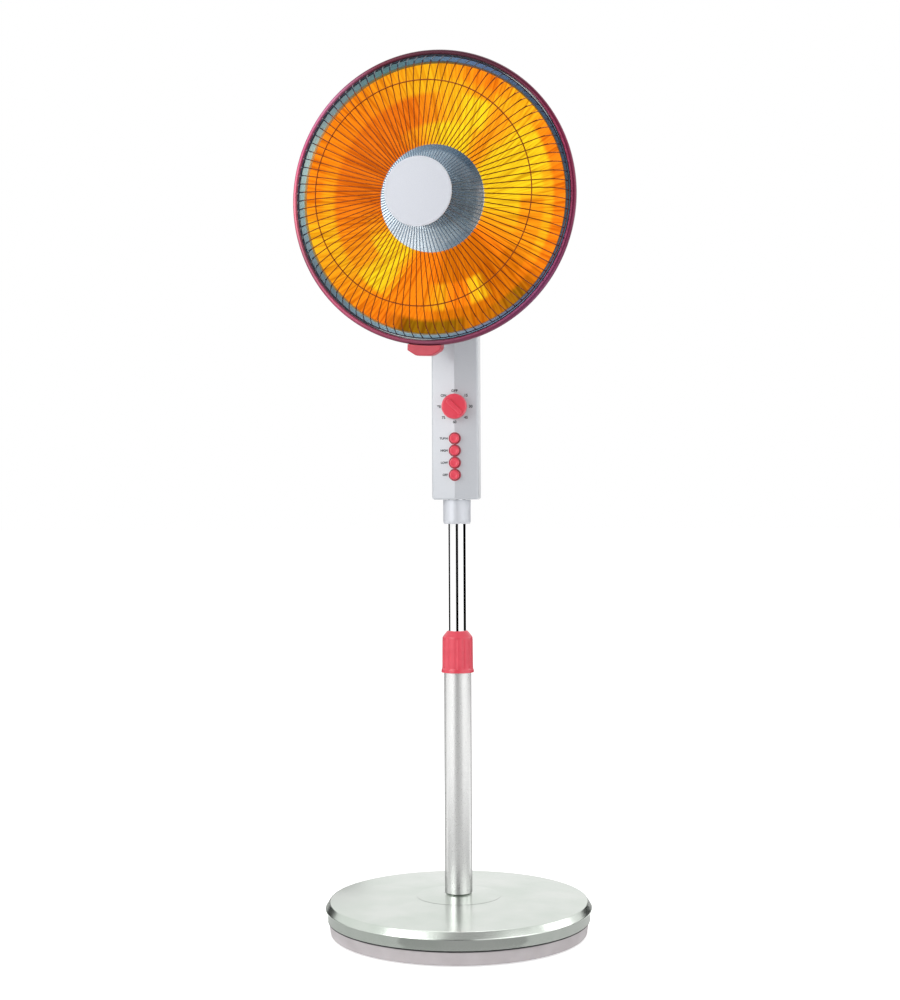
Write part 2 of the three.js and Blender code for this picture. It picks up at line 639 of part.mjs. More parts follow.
const glandFlangeFront = HOUSING.back + FIT_GAP;
const glandBody = turned(
  [
    [GLAND.bore, -GLAND.inside],
    [GLAND.radius, -GLAND.inside],
    [GLAND.radius, 0],
    [GLAND.flangeRadius, 0],
    [GLAND.flangeRadius, GLAND.flange],
    [GLAND.radius, GLAND.flange],
    [GLAND.bore + GLAND.tipWall, GLAND.length],
    [GLAND.bore, GLAND.length],
  ],
  SMALL_SIDES,
);
piece(
  "cord_gland",
  glandBody.rotateX(-Math.PI / 2).translate(0, glandFlangeFront, glandHeight),
  "blackPlastic",
);

// ---- Controls ----------------------------------------------------------------------------------
const knobBack = knobLandFront - RUNNING_GAP;
const knobFront = knobBack - KNOB.height;
const timerFront = -(HOUSING.ridge - TIMER_UNIT.behindRidge);
const knobShaftFront = knobBack - CUT_OVER;
const knobShaftLength = timerFront - FIT_GAP - knobShaftFront;
const knobShaft = frontBar(KNOB.shaftRadius, knobShaftFront, knobShaftLength, 0, KNOB_HEIGHT);
const knobEdge = KNOB.radius - KNOB.edgeDraft;
const knobBody = turned(
  [
    [0, 0],
    [KNOB.radius, 0],
    [knobEdge, KNOB.stepHeight],
    [knobEdge - KNOB.edgeBevel, KNOB.stepHeight + KNOB.edgeBevel],
    [0, KNOB.stepHeight + KNOB.edgeBevel],
  ],
  POST_SIDES,
);
const knobGrip = common(
  disc(KNOB.radius - KNOB.gripInset, CUT_OVER, KNOB.height),
  block([-KNOB.gripWidth / 2, -KNOB.radius, CUT_OVER], [KNOB.gripWidth / 2, KNOB.radius, KNOB.height]),
).rotateZ(KNOB.gripAngle * RADIAN);
piece(
  "timer_knob",
  joined([facingFront(joined([knobBody, knobGrip]), 0, knobBack, KNOB_HEIGHT), knobShaft]),
  "coral",
);

piece(
  "timer_unit",
  block(
    [-TIMER_UNIT.width / 2, timerFront, KNOB_HEIGHT - TIMER_UNIT.height / 2],
    [TIMER_UNIT.width / 2, timerFront + TIMER_UNIT.depth, KNOB_HEIGHT + TIMER_UNIT.height / 2],
  ),
  "nylon",
);

const buttonFront = buttonLandFront - BUTTON.proud;
buttonHeights.forEach((z, i) => {
  const cap = facingFront(
    turned(
      [
        [0, -BUTTON.length],
        [BUTTON.radius, -BUTTON.length],
        [BUTTON.radius, -BUTTON.bevel],
        [BUTTON.radius - BUTTON.bevel, 0],
        [0, BUTTON.crown],
      ],
      SMALL_SIDES,
    ),
    0,
    buttonFront,
    z,
  );
  piece(`button_${i + 1}`, cap, "coral");
});

const switchFront = buttonFront + BUTTON.length + BUTTON.travel + FIT_GAP;
piece(
  "switch_block",
  block(
    [-SWITCH_BLOCK.width / 2, switchFront, SWITCH_BOTTOM],
    [SWITCH_BLOCK.width / 2, switchFront + SWITCH_BLOCK.depth, buttonHeights.at(-1) + BUTTON.pitch / 2],
  ),
  "blackPlastic",
);

piece(
  "terminal_block",
  block(
    [-TERMINAL_BLOCK.width / 2, 0, TERMINAL_BOTTOM],
    [TERMINAL_BLOCK.width / 2, TERMINAL_BLOCK.depth, TERMINAL_BOTTOM + TERMINAL_BLOCK.height],
  ),
  "nylon",
);

piece(
  "tip_switch",
  block(
    [-TIP_SWITCH.width / 2, -TIP_SWITCH.depth / 2, TIP_SWITCH_BOTTOM],
    [TIP_SWITCH.width / 2, TIP_SWITCH.depth / 2, TIP_SWITCH_BOTTOM + TIP_SWITCH.height],
  ),
  "blackPlastic",
);

// ---- Turning gear: a motor's crank pin runs in the slot of a lever on the neck shaft -------------
piece("turn_motor", disc(MOTOR.radius, MOTOR_BOTTOM, MOTOR_TOP).translate(CRANK_OFFSET, 0, 0), "steel");

const crankReach = CRANK_OFFSET * Math.tan(HEAD_SWEEP * RADIAN);
const crankTurn = nested(heater, [CRANK_OFFSET, 0, 0]);
crankTurn.rotation.z = HEAD_TURN_AT_REST * CRANK_PER_TURN * RADIAN;
const crankPin = disc(CRANK.pinRadius, CRANK_TOP - CUT_OVER, CRANK_TOP + CRANK.pinHeight, SMALL_SIDES);
piece(
  "turn_crank",
  joined([
    disc(CRANK.radius, CRANK_BOTTOM, CRANK_TOP),
    crankPin.translate(crankReach, 0, 0),
  ]),
  "nylon",
  crankTurn,
);

const bearingTop = HOUSING_TOP + FIT_GAP + NECK_BEARING.flange;
const bearingBore = NECK_SHAFT.radius + RUNNING_GAP;
piece(
  "neck_bearing",
  turned([
    [bearingBore, bearingTop - NECK_BEARING.length],
    [bearingRadius, bearingTop - NECK_BEARING.length],
    [bearingRadius, HOUSING_TOP + FIT_GAP],
    [bearingRadius + NECK_BEARING.flangeWidth, HOUSING_TOP + FIT_GAP],
    [bearingRadius + NECK_BEARING.flangeWidth, bearingTop],
    [bearingBore, bearingTop],
  ], HIDDEN_SIDES),
  "nylon",
);

const neck = nested(heater);
neck.rotation.z = HEAD_TURN_AT_REST * RADIAN;

const slotStart = CRANK_OFFSET / Math.cos(HEAD_SWEEP * RADIAN) - CRANK.pinRadius - RUNNING_GAP;
const slotEnd = CRANK_OFFSET + crankReach + CRANK.pinRadius + RUNNING_GAP;
const slotHalf = CRANK.pinRadius + RUNNING_GAP;
const leverEnd = slotEnd + LEVER.tip;
const shaftEndRadius = NECK_SHAFT.radius - NECK_SHAFT.step;
const shaftTop = YOKE_BOTTOM + YOKE.plate - YOKE.floor;
piece(
  "turn_lever",
  cut(
    joined([
      disc(LEVER.hubRadius, LEVER_BOTTOM, LEVER_TOP),
      block([0, -LEVER.width / 2, LEVER_BOTTOM], [leverEnd, LEVER.width / 2, LEVER_TOP]),
    ]),
    [
      block([slotStart, -slotHalf, LEVER_BOTTOM - CUT_OVER], [slotEnd, slotHalf, LEVER_TOP + CUT_OVER]),
      disc(shaftEndRadius + FIT_GAP, LEVER_BOTTOM - CUT_OVER, LEVER_TOP + CUT_OVER),
    ],
  ),
  "steel",
  neck,
);
piece(
  "neck_shaft",
  joined([
    disc(shaftEndRadius, LEVER_BOTTOM, LEVER_TOP + NECK_SHAFT.overLever, HIDDEN_SIDES),
    disc(NECK_SHAFT.radius, LEVER_TOP + FIT_GAP, shaftTop, HIDDEN_SIDES),
  ]),
  "steel",
  neck,
);

const earInner = LUG.width / 2 + RUNNING_GAP;
const earOuter = earInner + YOKE.earThickness;
const yokeEars = [];
for (const side of [-1, 1]) {
  const middle = (side * (earInner + earOuter)) / 2;
  const half = YOKE.earThickness / 2;
  const round = facingSide(disc(YOKE.earRadius, -half, half), middle, 0, PIVOT_HEIGHT);
  const low = [middle - half, -YOKE.earRadius, YOKE_BOTTOM + CUT_OVER];
  yokeEars.push(round, block(low, [middle + half, YOKE.earRadius, PIVOT_HEIGHT]));
}
const pivotHole = facingSide(
  disc(TILT_BOLT.radius + FIT_GAP, -THROUGH, THROUGH, SMALL_SIDES), 0, 0, PIVOT_HEIGHT);
piece(
  "neck_yoke",
  cut(joined([disc(earOuter + YOKE.margin, YOKE_BOTTOM, YOKE_BOTTOM + YOKE.plate), ...yokeEars]), [
    pivotHole,
    disc(NECK_SHAFT.radius + FIT_GAP, YOKE_BOTTOM - CUT_OVER, shaftTop + FIT_GAP),
  ]),
  "housing",
  neck,
);

const boltGrip = earOuter + FIT_GAP;
const nutEnd = -boltGrip - TILT_BOLT.nutHeight;
piece(
  "tilt_bolt",
  joined([
    facingSide(disc(TILT_BOLT.headRadius, boltGrip, boltGrip + TILT_BOLT.headHeight, SMALL_SIDES)),
    facingSide(disc(TILT_BOLT.radius, nutEnd - TILT_BOLT.spareThread, boltGrip + CUT_OVER, SMALL_SIDES)),
  ]).translate(0, 0, PIVOT_HEIGHT),
  "steel",
  neck,
);
piece(
  "tilt_nut",
  facingSide(
    cut(disc(TILT_BOLT.headRadius, nutEnd, -boltGrip, HEX), [
      disc(TILT_BOLT.radius + FIT_GAP, -THROUGH, 0, SMALL_SIDES),
    ]),
    0,
    0,
    PIVOT_HEIGHT,
  ),
  "steel",
  neck,
);

// ---- Head: made about +Z with h forward, then turned to the front --------------------------------
const tilting = nested(neck, [0, 0, PIVOT_HEIGHT]);
tilting.rotation.x = HEAD_TILT_AT_REST * RADIAN;
const head = nested(tilting, [0, -HEAD_FORWARD, HEAD_RISE]);

function headPiece(name, geometry, finish) {
  return piece(name, geometry.rotateX(Math.PI / 2), finish, head);
}

// Depth of the rear housing's outside, and of the reflector's front, at a distance from the axis.
const rearDepth = (r) => -REAR.rim - REAR_DEPTH * (1 - (r / REAR_RADIUS) ** 2);
const dishDepth = (r) => -REFLECTOR.flangeDrop - REFLECTOR.depth * (1 - (r / DISH_RADIUS) ** 2);

// Points of a bowl from one radius to another.
function bowl(depth, from, to) {
  const points = [];
  for (let i = 0; i <= BOWL_STEPS; i++) {
    const r = from + ((to - from) * i) / BOWL_STEPS;
    points.push([r, depth(r)]);
  }
  return points;
}

headPiece(
  "head_ring",
  turned(
    [
      [RING_BORE, RING.lip - RING.lipHeight],
      [RING_BORE, RING.lip],
      [RING_BORE + RING.crownInset, RING.lip + RING.crown],
      [RING.radius - RING.nose, RING.lip],
      [RING.radius, RING.lip - RING.nose],
      [RING.radius, -RING.straight],
      [RING.radius - RING.taper, -RING.depth],
      [RING_BORE, -RING.depth],
    ],
    HEAD_SIDES,
  ),
  "ringCoral",
);

const reflectorFront = bowl(dishDepth, REFLECTOR.holeRadius, DISH_RADIUS);
const reflectorBack = reflectorFront.map(([r, h]) => [r, h - REFLECTOR.wall]).reverse();
headPiece(
  "reflector",
  turned(
    [
      ...reflectorFront,
      [REFLECTOR_RADIUS, -REFLECTOR.wall],
      [REFLECTOR_RADIUS, -2 * REFLECTOR.wall],
      ...reflectorBack,
    ],
    HEAD_SIDES,
  ),
  "gold",
);

const rearOutside = bowl(rearDepth, 0, REAR_RADIUS);
const rearInside = bowl((r) => rearDepth(r) + REAR.wall, 0, REAR_RADIUS - REAR.wall);
const rearRimFront = -REAR.rim + REAR.rimHeight;
const rearRim = [[REAR_RADIUS, rearRimFront], [REAR_RADIUS - REAR.wall, rearRimFront]];
const rearShellBody = turned([...rearOutside, ...rearRim, ...rearInside.reverse()], HEAD_SIDES);
const vents = [];
for (let i = 0; i < VENT.count; i++) {
  const slot = block([VENT.innerRadius, -VENT.width / 2, rearDepth(0)], [VENT.outerRadius, VENT.width / 2, 0]);
  vents.push(slot.rotateZ(((i + 0.5) * 2 * Math.PI) / VENT.count));
}
headPiece("rear_housing", cut(rearShellBody, vents), "housing");

// The front grille is one open net: wires run out from the hub, and two bands join them.
// Each station of the wire's path is [radius, h, starts a band].
function grilleStations() {
  const half = GRILLE.bandWidth / 2;
  const hubRadius = CAP.radius - GRILLE.underCap;
  const rimRadius = RING_BORE - GRILLE.rimGap;
  const slope = (GRILLE.ringRise - GRILLE.hubRise) / (GRILLE.ringRadius - hubRadius);
  return [
    [hubRadius, GRILLE.hubRise, false],
    [GRILLE.ringRadius - half, GRILLE.ringRise - slope * half, true],
    [GRILLE.ringRadius + half, GRILLE.ringRise + slope * half, false],
    [rimRadius - GRILLE.shoulder, GRILLE.shoulderRise, false],
    [rimRadius, GRILLE.rimRise + GRILLE.bandWidth, true],
    [rimRadius, GRILLE.rimRise, false],
  ];
}

function grilleGeometry() {
  const stations = grilleStations();
  const corners = [];
  const faces = [];
  const quad = (a, b, c, d) => faces.push(a, b, c, a, c, d);
  const corner = (wire, station, place) => ((wire % GRILLE.wires) * stations.length + station) * 4 + place;
  // The four corners of a station: front left, front right, back right, back left.
  for (let wire = 0; wire < GRILLE.wires; wire++) {
    const angle = (wire * 2 * Math.PI) / GRILLE.wires;
    stations.forEach(([r, h], station) => {
      const [beforeR, beforeH] = stations[Math.max(station - 1, 0)];
      const [afterR, afterH] = stations[Math.min(station + 1, stations.length - 1)];
      const run = Math.hypot(afterR - beforeR, afterH - beforeH);
      const outR = (beforeH - afterH) / run;
      const outH = (afterR - beforeR) / run;
      for (const [depth, side] of [[0.5, -0.5], [0.5, 0.5], [-0.5, 0.5], [-0.5, -0.5]]) {
        const radius = r + outR * depth * GRILLE.wireDepth;
        const x = radius * Math.cos(angle) - side * GRILLE.wireWidth * Math.sin(angle);
        const y = radius * Math.sin(angle) + side * GRILLE.wireWidth * Math.cos(angle);
        corners.push(x, y, h + outH * depth * GRILLE.wireDepth);
      }
    });
  }
  for (let wire = 0; wire < GRILLE.wires; wire++) {
    const last = stations.length - 1;
    quad(...[0, 1, 2, 3].map((place) => corner(wire, 0, place)));
    quad(...[3, 2, 1, 0].map((place) => corner(wire, last, place)));
    for (let s = 0; s < last; s++) {
      quad(corner(wire, s, 1), corner(wire, s, 0), corner(wire, s + 1, 0), corner(wire, s + 1, 1));
      quad(corner(wire, s, 3), corner(wire, s, 2), corner(wire, s + 1, 2), corner(wire, s + 1, 3));
      if (stations[s][2]) {
        const next = wire + 1;
        quad(corner(next, s, 0), corner(wire, s, 1), corner(wire, s + 1, 1), corner(next, s + 1, 0));
        quad(corner(wire, s, 2), corner(next, s, 3), corner(next, s + 1, 3), corner(wire, s + 1, 2));
        quad(corner(wire, s, 1), corner(next, s, 0), corner(next, s, 3), corner(wire, s, 2));
        quad(corner(next, s + 1, 0), corner(wire, s + 1, 1), corner(wire, s + 1, 2), corner(next, s + 1, 3));
      } else {
        quad(corner(wire, s, 2), corner(wire, s, 1), corner(wire, s + 1, 1), corner(wire, s + 1, 2));
        quad(corner(wire, s, 0), corner(wire, s, 3), corner(wire, s + 1, 3), corner(wire, s + 1, 0));
      }
    }
  }
  const geometry = new THREE.BufferGeometry();
  geometry.setAttribute("position", new THREE.Float32BufferAttribute(corners, 3));
  geometry.setIndex(faces);
  return geometry;
}
headPiece("front_grille", grilleGeometry(), "wire");

const plateFront = GRILLE.hubRise - GRILLE.wireDepth - FIT_GAP;
headPiece(
  "cap_plate",
  disc(CAP.radius - CAP.edge, plateFront - CAP.plate, plateFront, HEAD_SIDES / 2),
  "steel",
);
const capBack = GRILLE.hubRise + GRILLE.wireDepth / 2 + FIT_GAP;
headPiece(
  "grille_cap",
  turned(
    [
      [0, capBack],
      [CAP.radius, capBack],
      [CAP.radius, capBack + CAP.thickness - CAP.edge],
      [CAP.radius - CAP.edge, capBack + CAP.thickness],
      [CAP.radius / 2, capBack + CAP.thickness + (3 / 4) * CAP.crown],
      [0, capBack + CAP.thickness + CAP.crown],
    ],
    HEAD_SIDES / 2,
  ),
  "capGrey",
);

// ---- Heating element ---------------------------------------------------------------------------
const shieldHole = SHIELD_SCREW.radius + FIT_GAP;
const coreFront = SHIELD.rise - FIT_GAP;
const screwEnd = coreFront - SHIELD_SCREW.length;
headPiece(
  "element_core",
  turned(
    [
      [0, -CORE.back],
      [CORE.radius, -CORE.back],
      [CORE.radius, coreFront],
      [shieldHole, coreFront],
      [shieldHole, screwEnd - SHIELD_SCREW.spare],
      [0, screwEnd - SHIELD_SCREW.spare],
    ],
    HIDDEN_SIDES,
  ),
  "ceramic",
);

const holderFront = -CORE.back - FIT_GAP;
const holderRadius = REFLECTOR.holeRadius - FIT_GAP;
const holderFlangeRadius = holderRadius + HOLDER.flangeWidth;
const holderBack = rearDepth(holderFlangeRadius) + REAR.wall + RUNNING_GAP;
const holderFlangeFront = dishDepth(REFLECTOR.holeRadius) - REFLECTOR.wall - HOLDER.behind;
headPiece(
  "element_holder",
  turned([
    [0, holderBack],
    [holderRadius, holderBack],
    [holderRadius, holderFlangeFront - HOLDER.flange],
    [holderFlangeRadius, holderFlangeFront - HOLDER.flange],
    [holderFlangeRadius, holderFlangeFront],
    [holderRadius, holderFlangeFront],
    [holderRadius, holderFront],
    [0, holderFront],
  ], HIDDEN_SIDES),
  "ceramic",
);

class CoilPath extends THREE.Curve {
  getPoint(t, target = new THREE.Vector3()) {
    const angle = t * COIL.turns * 2 * Math.PI;
    const h = coilStart + t * COIL.turns * COIL.pitch;
    return target.set(COIL_RADIUS * Math.cos(angle), COIL_RADIUS * Math.sin(angle), h);
  }
}
const coilStart = -CORE.back + COIL.fromBack;
const coilSection = new THREE.Shape();
for (let i = 0; i < COIL.sides; i++) {
  const angle = (i * 2 * Math.PI) / COIL.sides;
  const point = [COIL.wire * Math.cos(angle), COIL.wire * Math.sin(angle)];
  if (i === 0) coilSection.moveTo(...point);
  else coilSection.lineTo(...point);
}
const coilSettings = { steps: COIL.turns * COIL.steps, extrudePath: new CoilPath(), bevelEnabled: false };
headPiece("heating_coil", new THREE.ExtrudeGeometry(coilSection, coilSettings), "hotWire");

// Least gap between one turn of the coil and the next, measured on points of its path.
function leastCoilGap() {
  const path = coilSettings.extrudePath;
  const points = path.getPoints(coilSettings.steps);
  let least = Infinity;
  points.forEach((point, i) => {
    for (const other of points.slice(i + COIL.steps / 2)) least = Math.min(least, point.distanceTo(other));
  });
  return least - 2 * COIL.wire;
}
console.log(`heating_coil: least gap between turns ${leastCoilGap().toFixed(2)} mm`);

headPiece(
  "core_shield",
  turned(
    [
      [shieldHole, SHIELD.rise],
      [SHIELD.faceRadius, SHIELD.rise],
      [SHIELD.radius, SHIELD.rise - SHIELD.cone],
      [SHIELD.radius, SHIELD.rise - SHIELD.cone + SHIELD.wall],
      [SHIELD.faceRadius, SHIELD.rise + SHIELD.wall],
      [shieldHole, SHIELD.rise + SHIELD.wall],
    ],
    HEAD_SIDES / 2,
  ),
  "shield",
);
const shieldFront = SHIELD.rise + SHIELD.wall + FIT_GAP;
headPiece(
  "shield_screw",
  joined([
    disc(SHIELD_SCREW.headRadius, shieldFront, shieldFront + SHIELD_SCREW.headHeight, SMALL_SIDES),
    disc(SHIELD_SCREW.radius, screwEnd, shieldFront + CUT_OVER, SMALL_SIDES),
  ]),
  "steel",
);

const cutoutFront = dishDepth(CUTOUT.circle) - REFLECTOR.wall - CUTOUT.behind;
headPiece(
  "thermal_cutout",
  disc(CUTOUT.radius, cutoutFront - CUTOUT.height, cutoutFront, SMALL_SIDES).translate(0, CUTOUT.circle, 0),
  "blackPlastic",
);

// ---- Clip under the ring -------------------------------------------------------------------------
const clipInner = RING.radius + FIT_GAP;
const clipOuter = clipInner + CHIN_CLIP.height;
const clipHalf = CHIN_CLIP.width / 2;
const clipPlan = new THREE.Shape();
const clipCover = -RING.radius + CHIN_CLIP.seatCover;
clipPlan.moveTo(-clipHalf, clipCover);
clipPlan.lineTo(-clipHalf, -clipOuter + CHIN_CLIP.nearCut[1]);
clipPlan.lineTo(-clipHalf + CHIN_CLIP.nearCut[0], -clipOuter);
clipPlan.lineTo(clipHalf - CHIN_CLIP.farCut[0], -clipOuter + CHIN_CLIP.slope);
clipPlan.lineTo(clipHalf, -clipOuter + CHIN_CLIP.farCut[1]);
clipPlan.lineTo(clipHalf, clipCover);
const clipBar = upright(clipPlan, -CHIN_CLIP.depth, CHIN_CLIP.proud);
const clipSeat = disc(clipInner, -THROUGH, THROUGH, HEAD_SIDES);
headPiece("chin_clip", cut(clipBar.rotateZ(CHIN_CLIP.angle * RADIAN), [clipSeat]), "coral");

// ---- Bracket between the neck and the rear housing -----------------------------------------------
const lugReach = HEAD_FORWARD + rearDepth(HEAD_RISE);
const lugBite = 6; // how far the bar reaches into the bowl before it is cut to the bowl's shape
const lugBar = joined([
  facingSide(disc(LUG.radius, -LUG.width / 2, LUG.width / 2)),
  block([-LUG.width / 2, -lugReach - lugBite, -LUG.radius], [LUG.width / 2, 0, LUG.radius]),
  block(
    [-LUG.padWidth / 2, -lugReach - 2 * lugBite, -LUG.padHeight / 2],
    [LUG.padWidth / 2, -lugReach + LUG.padDepth, LUG.padHeight / 2],
  ),
]).translate(0, HEAD_FORWARD, -HEAD_RISE);
const lugClearance = turned(
  [...bowl((r) => rearDepth(r) - FIT_GAP, 0, REAR_RADIUS), [REAR_RADIUS, 0], [0, 0]],
  HEAD_SIDES,
).rotateX(Math.PI / 2);
const lugHole = facingSide(
  disc(TILT_BOLT.radius + FIT_GAP, -THROUGH, THROUGH, SMALL_SIDES), 0, HEAD_FORWARD, -HEAD_RISE);
piece("tilt_lug", cut(lugBar, [lugClearance, lugHole]), "housing", head);

export default heater;
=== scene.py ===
"""A pedestal bowl heater, dressed around its solids.

Lengths are in mm, but for the settings, the camera and the stage, which are in metres."""
import json
import math

import bmesh
import bpy
from bpy.props import FloatProperty, FloatVectorProperty, IntProperty, PointerProperty
from mathutils import Matrix, Vector


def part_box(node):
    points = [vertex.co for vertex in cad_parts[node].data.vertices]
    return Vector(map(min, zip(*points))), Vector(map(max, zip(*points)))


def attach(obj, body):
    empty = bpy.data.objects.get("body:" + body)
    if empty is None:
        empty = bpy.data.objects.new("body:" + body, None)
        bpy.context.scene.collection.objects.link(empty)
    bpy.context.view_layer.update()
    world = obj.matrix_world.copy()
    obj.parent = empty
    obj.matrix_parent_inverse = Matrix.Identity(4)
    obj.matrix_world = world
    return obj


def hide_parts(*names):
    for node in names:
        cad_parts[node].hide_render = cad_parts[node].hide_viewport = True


bl_info = {
    "name": "Pedestal bowl heater",
    "version": (1, 0, 0),
    "blender": (4, 5, 0),
    "location": "View3D > Sidebar > Heater",
    "description": "Builds the finished surfaces of a pedestal bowl heater around its frame",
    "category": "Object",
}

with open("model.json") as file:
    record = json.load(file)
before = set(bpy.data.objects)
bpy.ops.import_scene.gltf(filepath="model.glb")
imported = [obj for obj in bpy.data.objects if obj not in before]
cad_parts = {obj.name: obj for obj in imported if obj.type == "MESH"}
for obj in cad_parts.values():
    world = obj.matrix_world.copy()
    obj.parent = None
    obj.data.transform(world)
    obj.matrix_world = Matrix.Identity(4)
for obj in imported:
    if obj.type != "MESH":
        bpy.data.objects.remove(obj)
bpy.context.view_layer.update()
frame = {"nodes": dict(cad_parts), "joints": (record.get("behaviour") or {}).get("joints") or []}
MM = 0.001
NOTHING = 1e-9

# Facets round the turned pieces, by the kind of piece.
RIM_FACETS = 240
BOWL_FACETS = 192
SPUN_FACETS = 144
TUBE_FACETS = 96
BUTTON_FACETS = 64
FITTING_FACETS = 48
BORE_FACETS = 40
SCREW_FACETS = 32
PIN_FACETS = 24
SHANK_FACETS = 20
WIRE_SIDES = 6


# ---- Places ------------------------------------------------------------------
def low(node):
    """The lowest corner of a node's box."""
    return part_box(node)[0] / MM


def high(node):
    """The highest corner of a node's box."""
    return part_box(node)[1] / MM


def middle(node):
    return (low(node) + high(node)) / 2


def four(stem):
    """The number, the name and the middle of each node in a set of four."""
    for number in range(1, 5):
        yield number, f"{stem}_{number}", middle(f"{stem}_{number}")


def at(x, y, z):
    return Matrix.Translation(Vector((x, y, z)) * MM)


def rotation(degrees, axis):
    return Matrix.Rotation(math.radians(degrees), 4, axis)


def along_front(x, y, z):
    """Places a solid made about +Z so that +Z points to the front."""
    return at(x, y, z) @ rotation(90, "X")


def along_back(x, y, z):
    """Places a solid made about +Z so that +Z points to the back."""
    return at(x, y, z) @ rotation(-90, "X")


# The head's own axes: local +Z looks forward out of the dish, local +Y is up.
TILT = next(entry for entry in frame["joints"] if entry["name"] == "head_tilt")
PIVOT_HEIGHT = TILT["pos_m"][2] / MM
HEAD_FORWARD = 117.0
HEAD_RISE = 66.6
HEAD_TILT_DEGREES = 2.0
NECK = Matrix.Rotation(math.atan2(TILT["axis"][1], TILT["axis"][0]), 4, "Z")
HEAD = (at(0, 0, PIVOT_HEIGHT) @ NECK @ rotation(HEAD_TILT_DEGREES, "X")
        @ along_front(0, -HEAD_FORWARD, HEAD_RISE))

# Sizes of the head, from its axis and from the plane of the ring.
RING_OUTER = 185.5
RING_INNER = 179.0
FLANGE = 177.5
DISH = 170.0
DISH_HOLE = 20.6
DISH_RIM_DEPTH = 9.0
DISH_HOLLOW = 62.0
REAR = 176.9
REAR_RIM_DEPTH = 12.0
REAR_HOLLOW = 75.0
SHIELD = 68.0
CAP = 43.3
HUB_RISE = 59.0

# The housing, with the V of its front.
HOUSING_LOW = low("housing_front").z
HOUSING_HIGH = high("housing_front").z
HOUSING_HALF = high("housing_front").x
HOUSING_BACK = high("housing_rear").y
KNOB_HEIGHT = middle("timer_knob").z
RIDGE = 26.0
CHEEK = 19.5
SEAM = 2.0
SEAM_HALF_GAP = 0.15
FACET_SLOPE = (RIDGE - CHEEK) / HOUSING_HALF

# The bore of the bolt that holds the base, the flange and the post together.
BOLT_BORE = 5.3


# ---- Colours -----------------------------------------------------------------
def linear(hex_colour):
    """An sRGB hex colour as linear RGB."""
    channels = [int(hex_colour[i:i + 2], 16) / 255 for i in (1, 3, 5)]
    return [c / 12.92 if c <= 0.04045 else ((c + 0.055) / 1.055) ** 2.4 for c in channels]


def rgba(hex_colour):
    return (*linear(hex_colour), 1.0)


def colour_prop(name, description, hex_colour):
    return FloatVectorProperty(name=name, description=description, default=linear(hex_colour),
                               subtype="COLOR", size=3, min=0.0, max=1.0)


def length_prop(name, description, default):
    return FloatProperty(name=name, description=description, default=default,
                         subtype="DISTANCE", unit="LENGTH", min=0.0001, precision=4)


def count_prop(name, description, default, least):
    return IntProperty(name=name, description=description, default=default, min=least)


class HeaterSizes(bpy.types.PropertyGroup):
    """Sizes of the heater that can be set by themselves."""
    wires: count_prop("Grille wires", "Radial wires in the front grille", 96, 12)
    wire_radius: length_prop("Wire radius", "Radius of a grille wire", 0.00064)
    band_radius: length_prop("Ring wire radius", "Radius of the grille's round wires", 0.00075)
    flutes: count_prop("Collar flutes", "Flutes round the clamp collar", 24, 6)
    vents: count_prop("Vents", "Slots in the rear housing", 12, 4)
    figure_height: length_prop("Figure height", "Height of the figures round the knob", 0.0036)
    word_height: length_prop("Word height", "Height of the words beside the buttons", 0.0030)
    round_steps: count_prop("Round steps", "Facets of a large turned piece", 160, 24)


class HeaterColours(bpy.types.PropertyGroup):
    """Colours of the heater's finishes."""
    steel: colour_prop("Cover steel", "Polished cover of the base", "#DCE1DC")
    tray: colour_prop("Tray plastic", "Tray under the cover", "#CDC6C8")
    pearl: colour_prop("Pearl paint", "Paint of the outer tube", "#EAEAEC")
    housing: colour_prop("Housing plastic", "Control housing and neck", "#DDDFE3")
    coral: colour_prop("Coral plastic", "Knob, buttons and collar", "#EB4458")
    raspberry: colour_prop("Raspberry plastic", "Ring round the head", "#B24468")
    rear: colour_prop("Rear paint", "Rear housing of the head", "#D8DADD")
    # The grille wire's tone is painted reflection of the amber dish behind it.
    wire: colour_prop("Grille wire", "Chromed wire, as it shows against the dish", "#4A3A34")
    cap: colour_prop("Cap lacquer", "Round cap of the grille", "#DADDE5")
    shield: colour_prop("Shield steel", "Shield in front of the element", "#8C9FAF")
    print_ink: colour_prop("Printing ink", "Figures and words on the housing", "#2A2D32")


def sizes():
    return bpy.context.scene.heater_sizes


def shade(colour):
    """Linear RGB of a hex colour, of a colour setting by its name, or as it is given."""
    if not isinstance(colour, str):
        return colour
    if colour.startswith("#"):
        return linear(colour)
    return getattr(bpy.context.scene.heater_colours, colour)


def change_of(setting):
    """How far a colour setting is from its default, by channel."""
    default = HeaterColours.bl_rna.properties[setting].default_array
    return [now / then for now, then in zip(shade(setting), default)]


# ---- Material helpers --------------------------------------------------------
def add(tree, kind, inputs=None, **settings):
    """Adds a node, with settings as its attributes, and links or sets its inputs."""
    made = tree.nodes.new(kind)
    for name, value in settings.items():
        setattr(made, name, value)
    for key, value in (inputs or {}).items():
        if isinstance(value, bpy.types.NodeSocket):
            tree.links.new(value, made.inputs[key])
        else:
            made.inputs[key].default_value = value
    return made


def maths(tree, operation, *values):
    return add(tree, "ShaderNodeMath", dict(enumerate(values)), operation=operation).outputs[0]


def vector_maths(tree, operation, *values):
    made = add(tree, "ShaderNodeVectorMath", dict(enumerate(values)), operation=operation)
    return made.outputs["Value" if operation in ("LENGTH", "DOT_PRODUCT") else "Vector"]


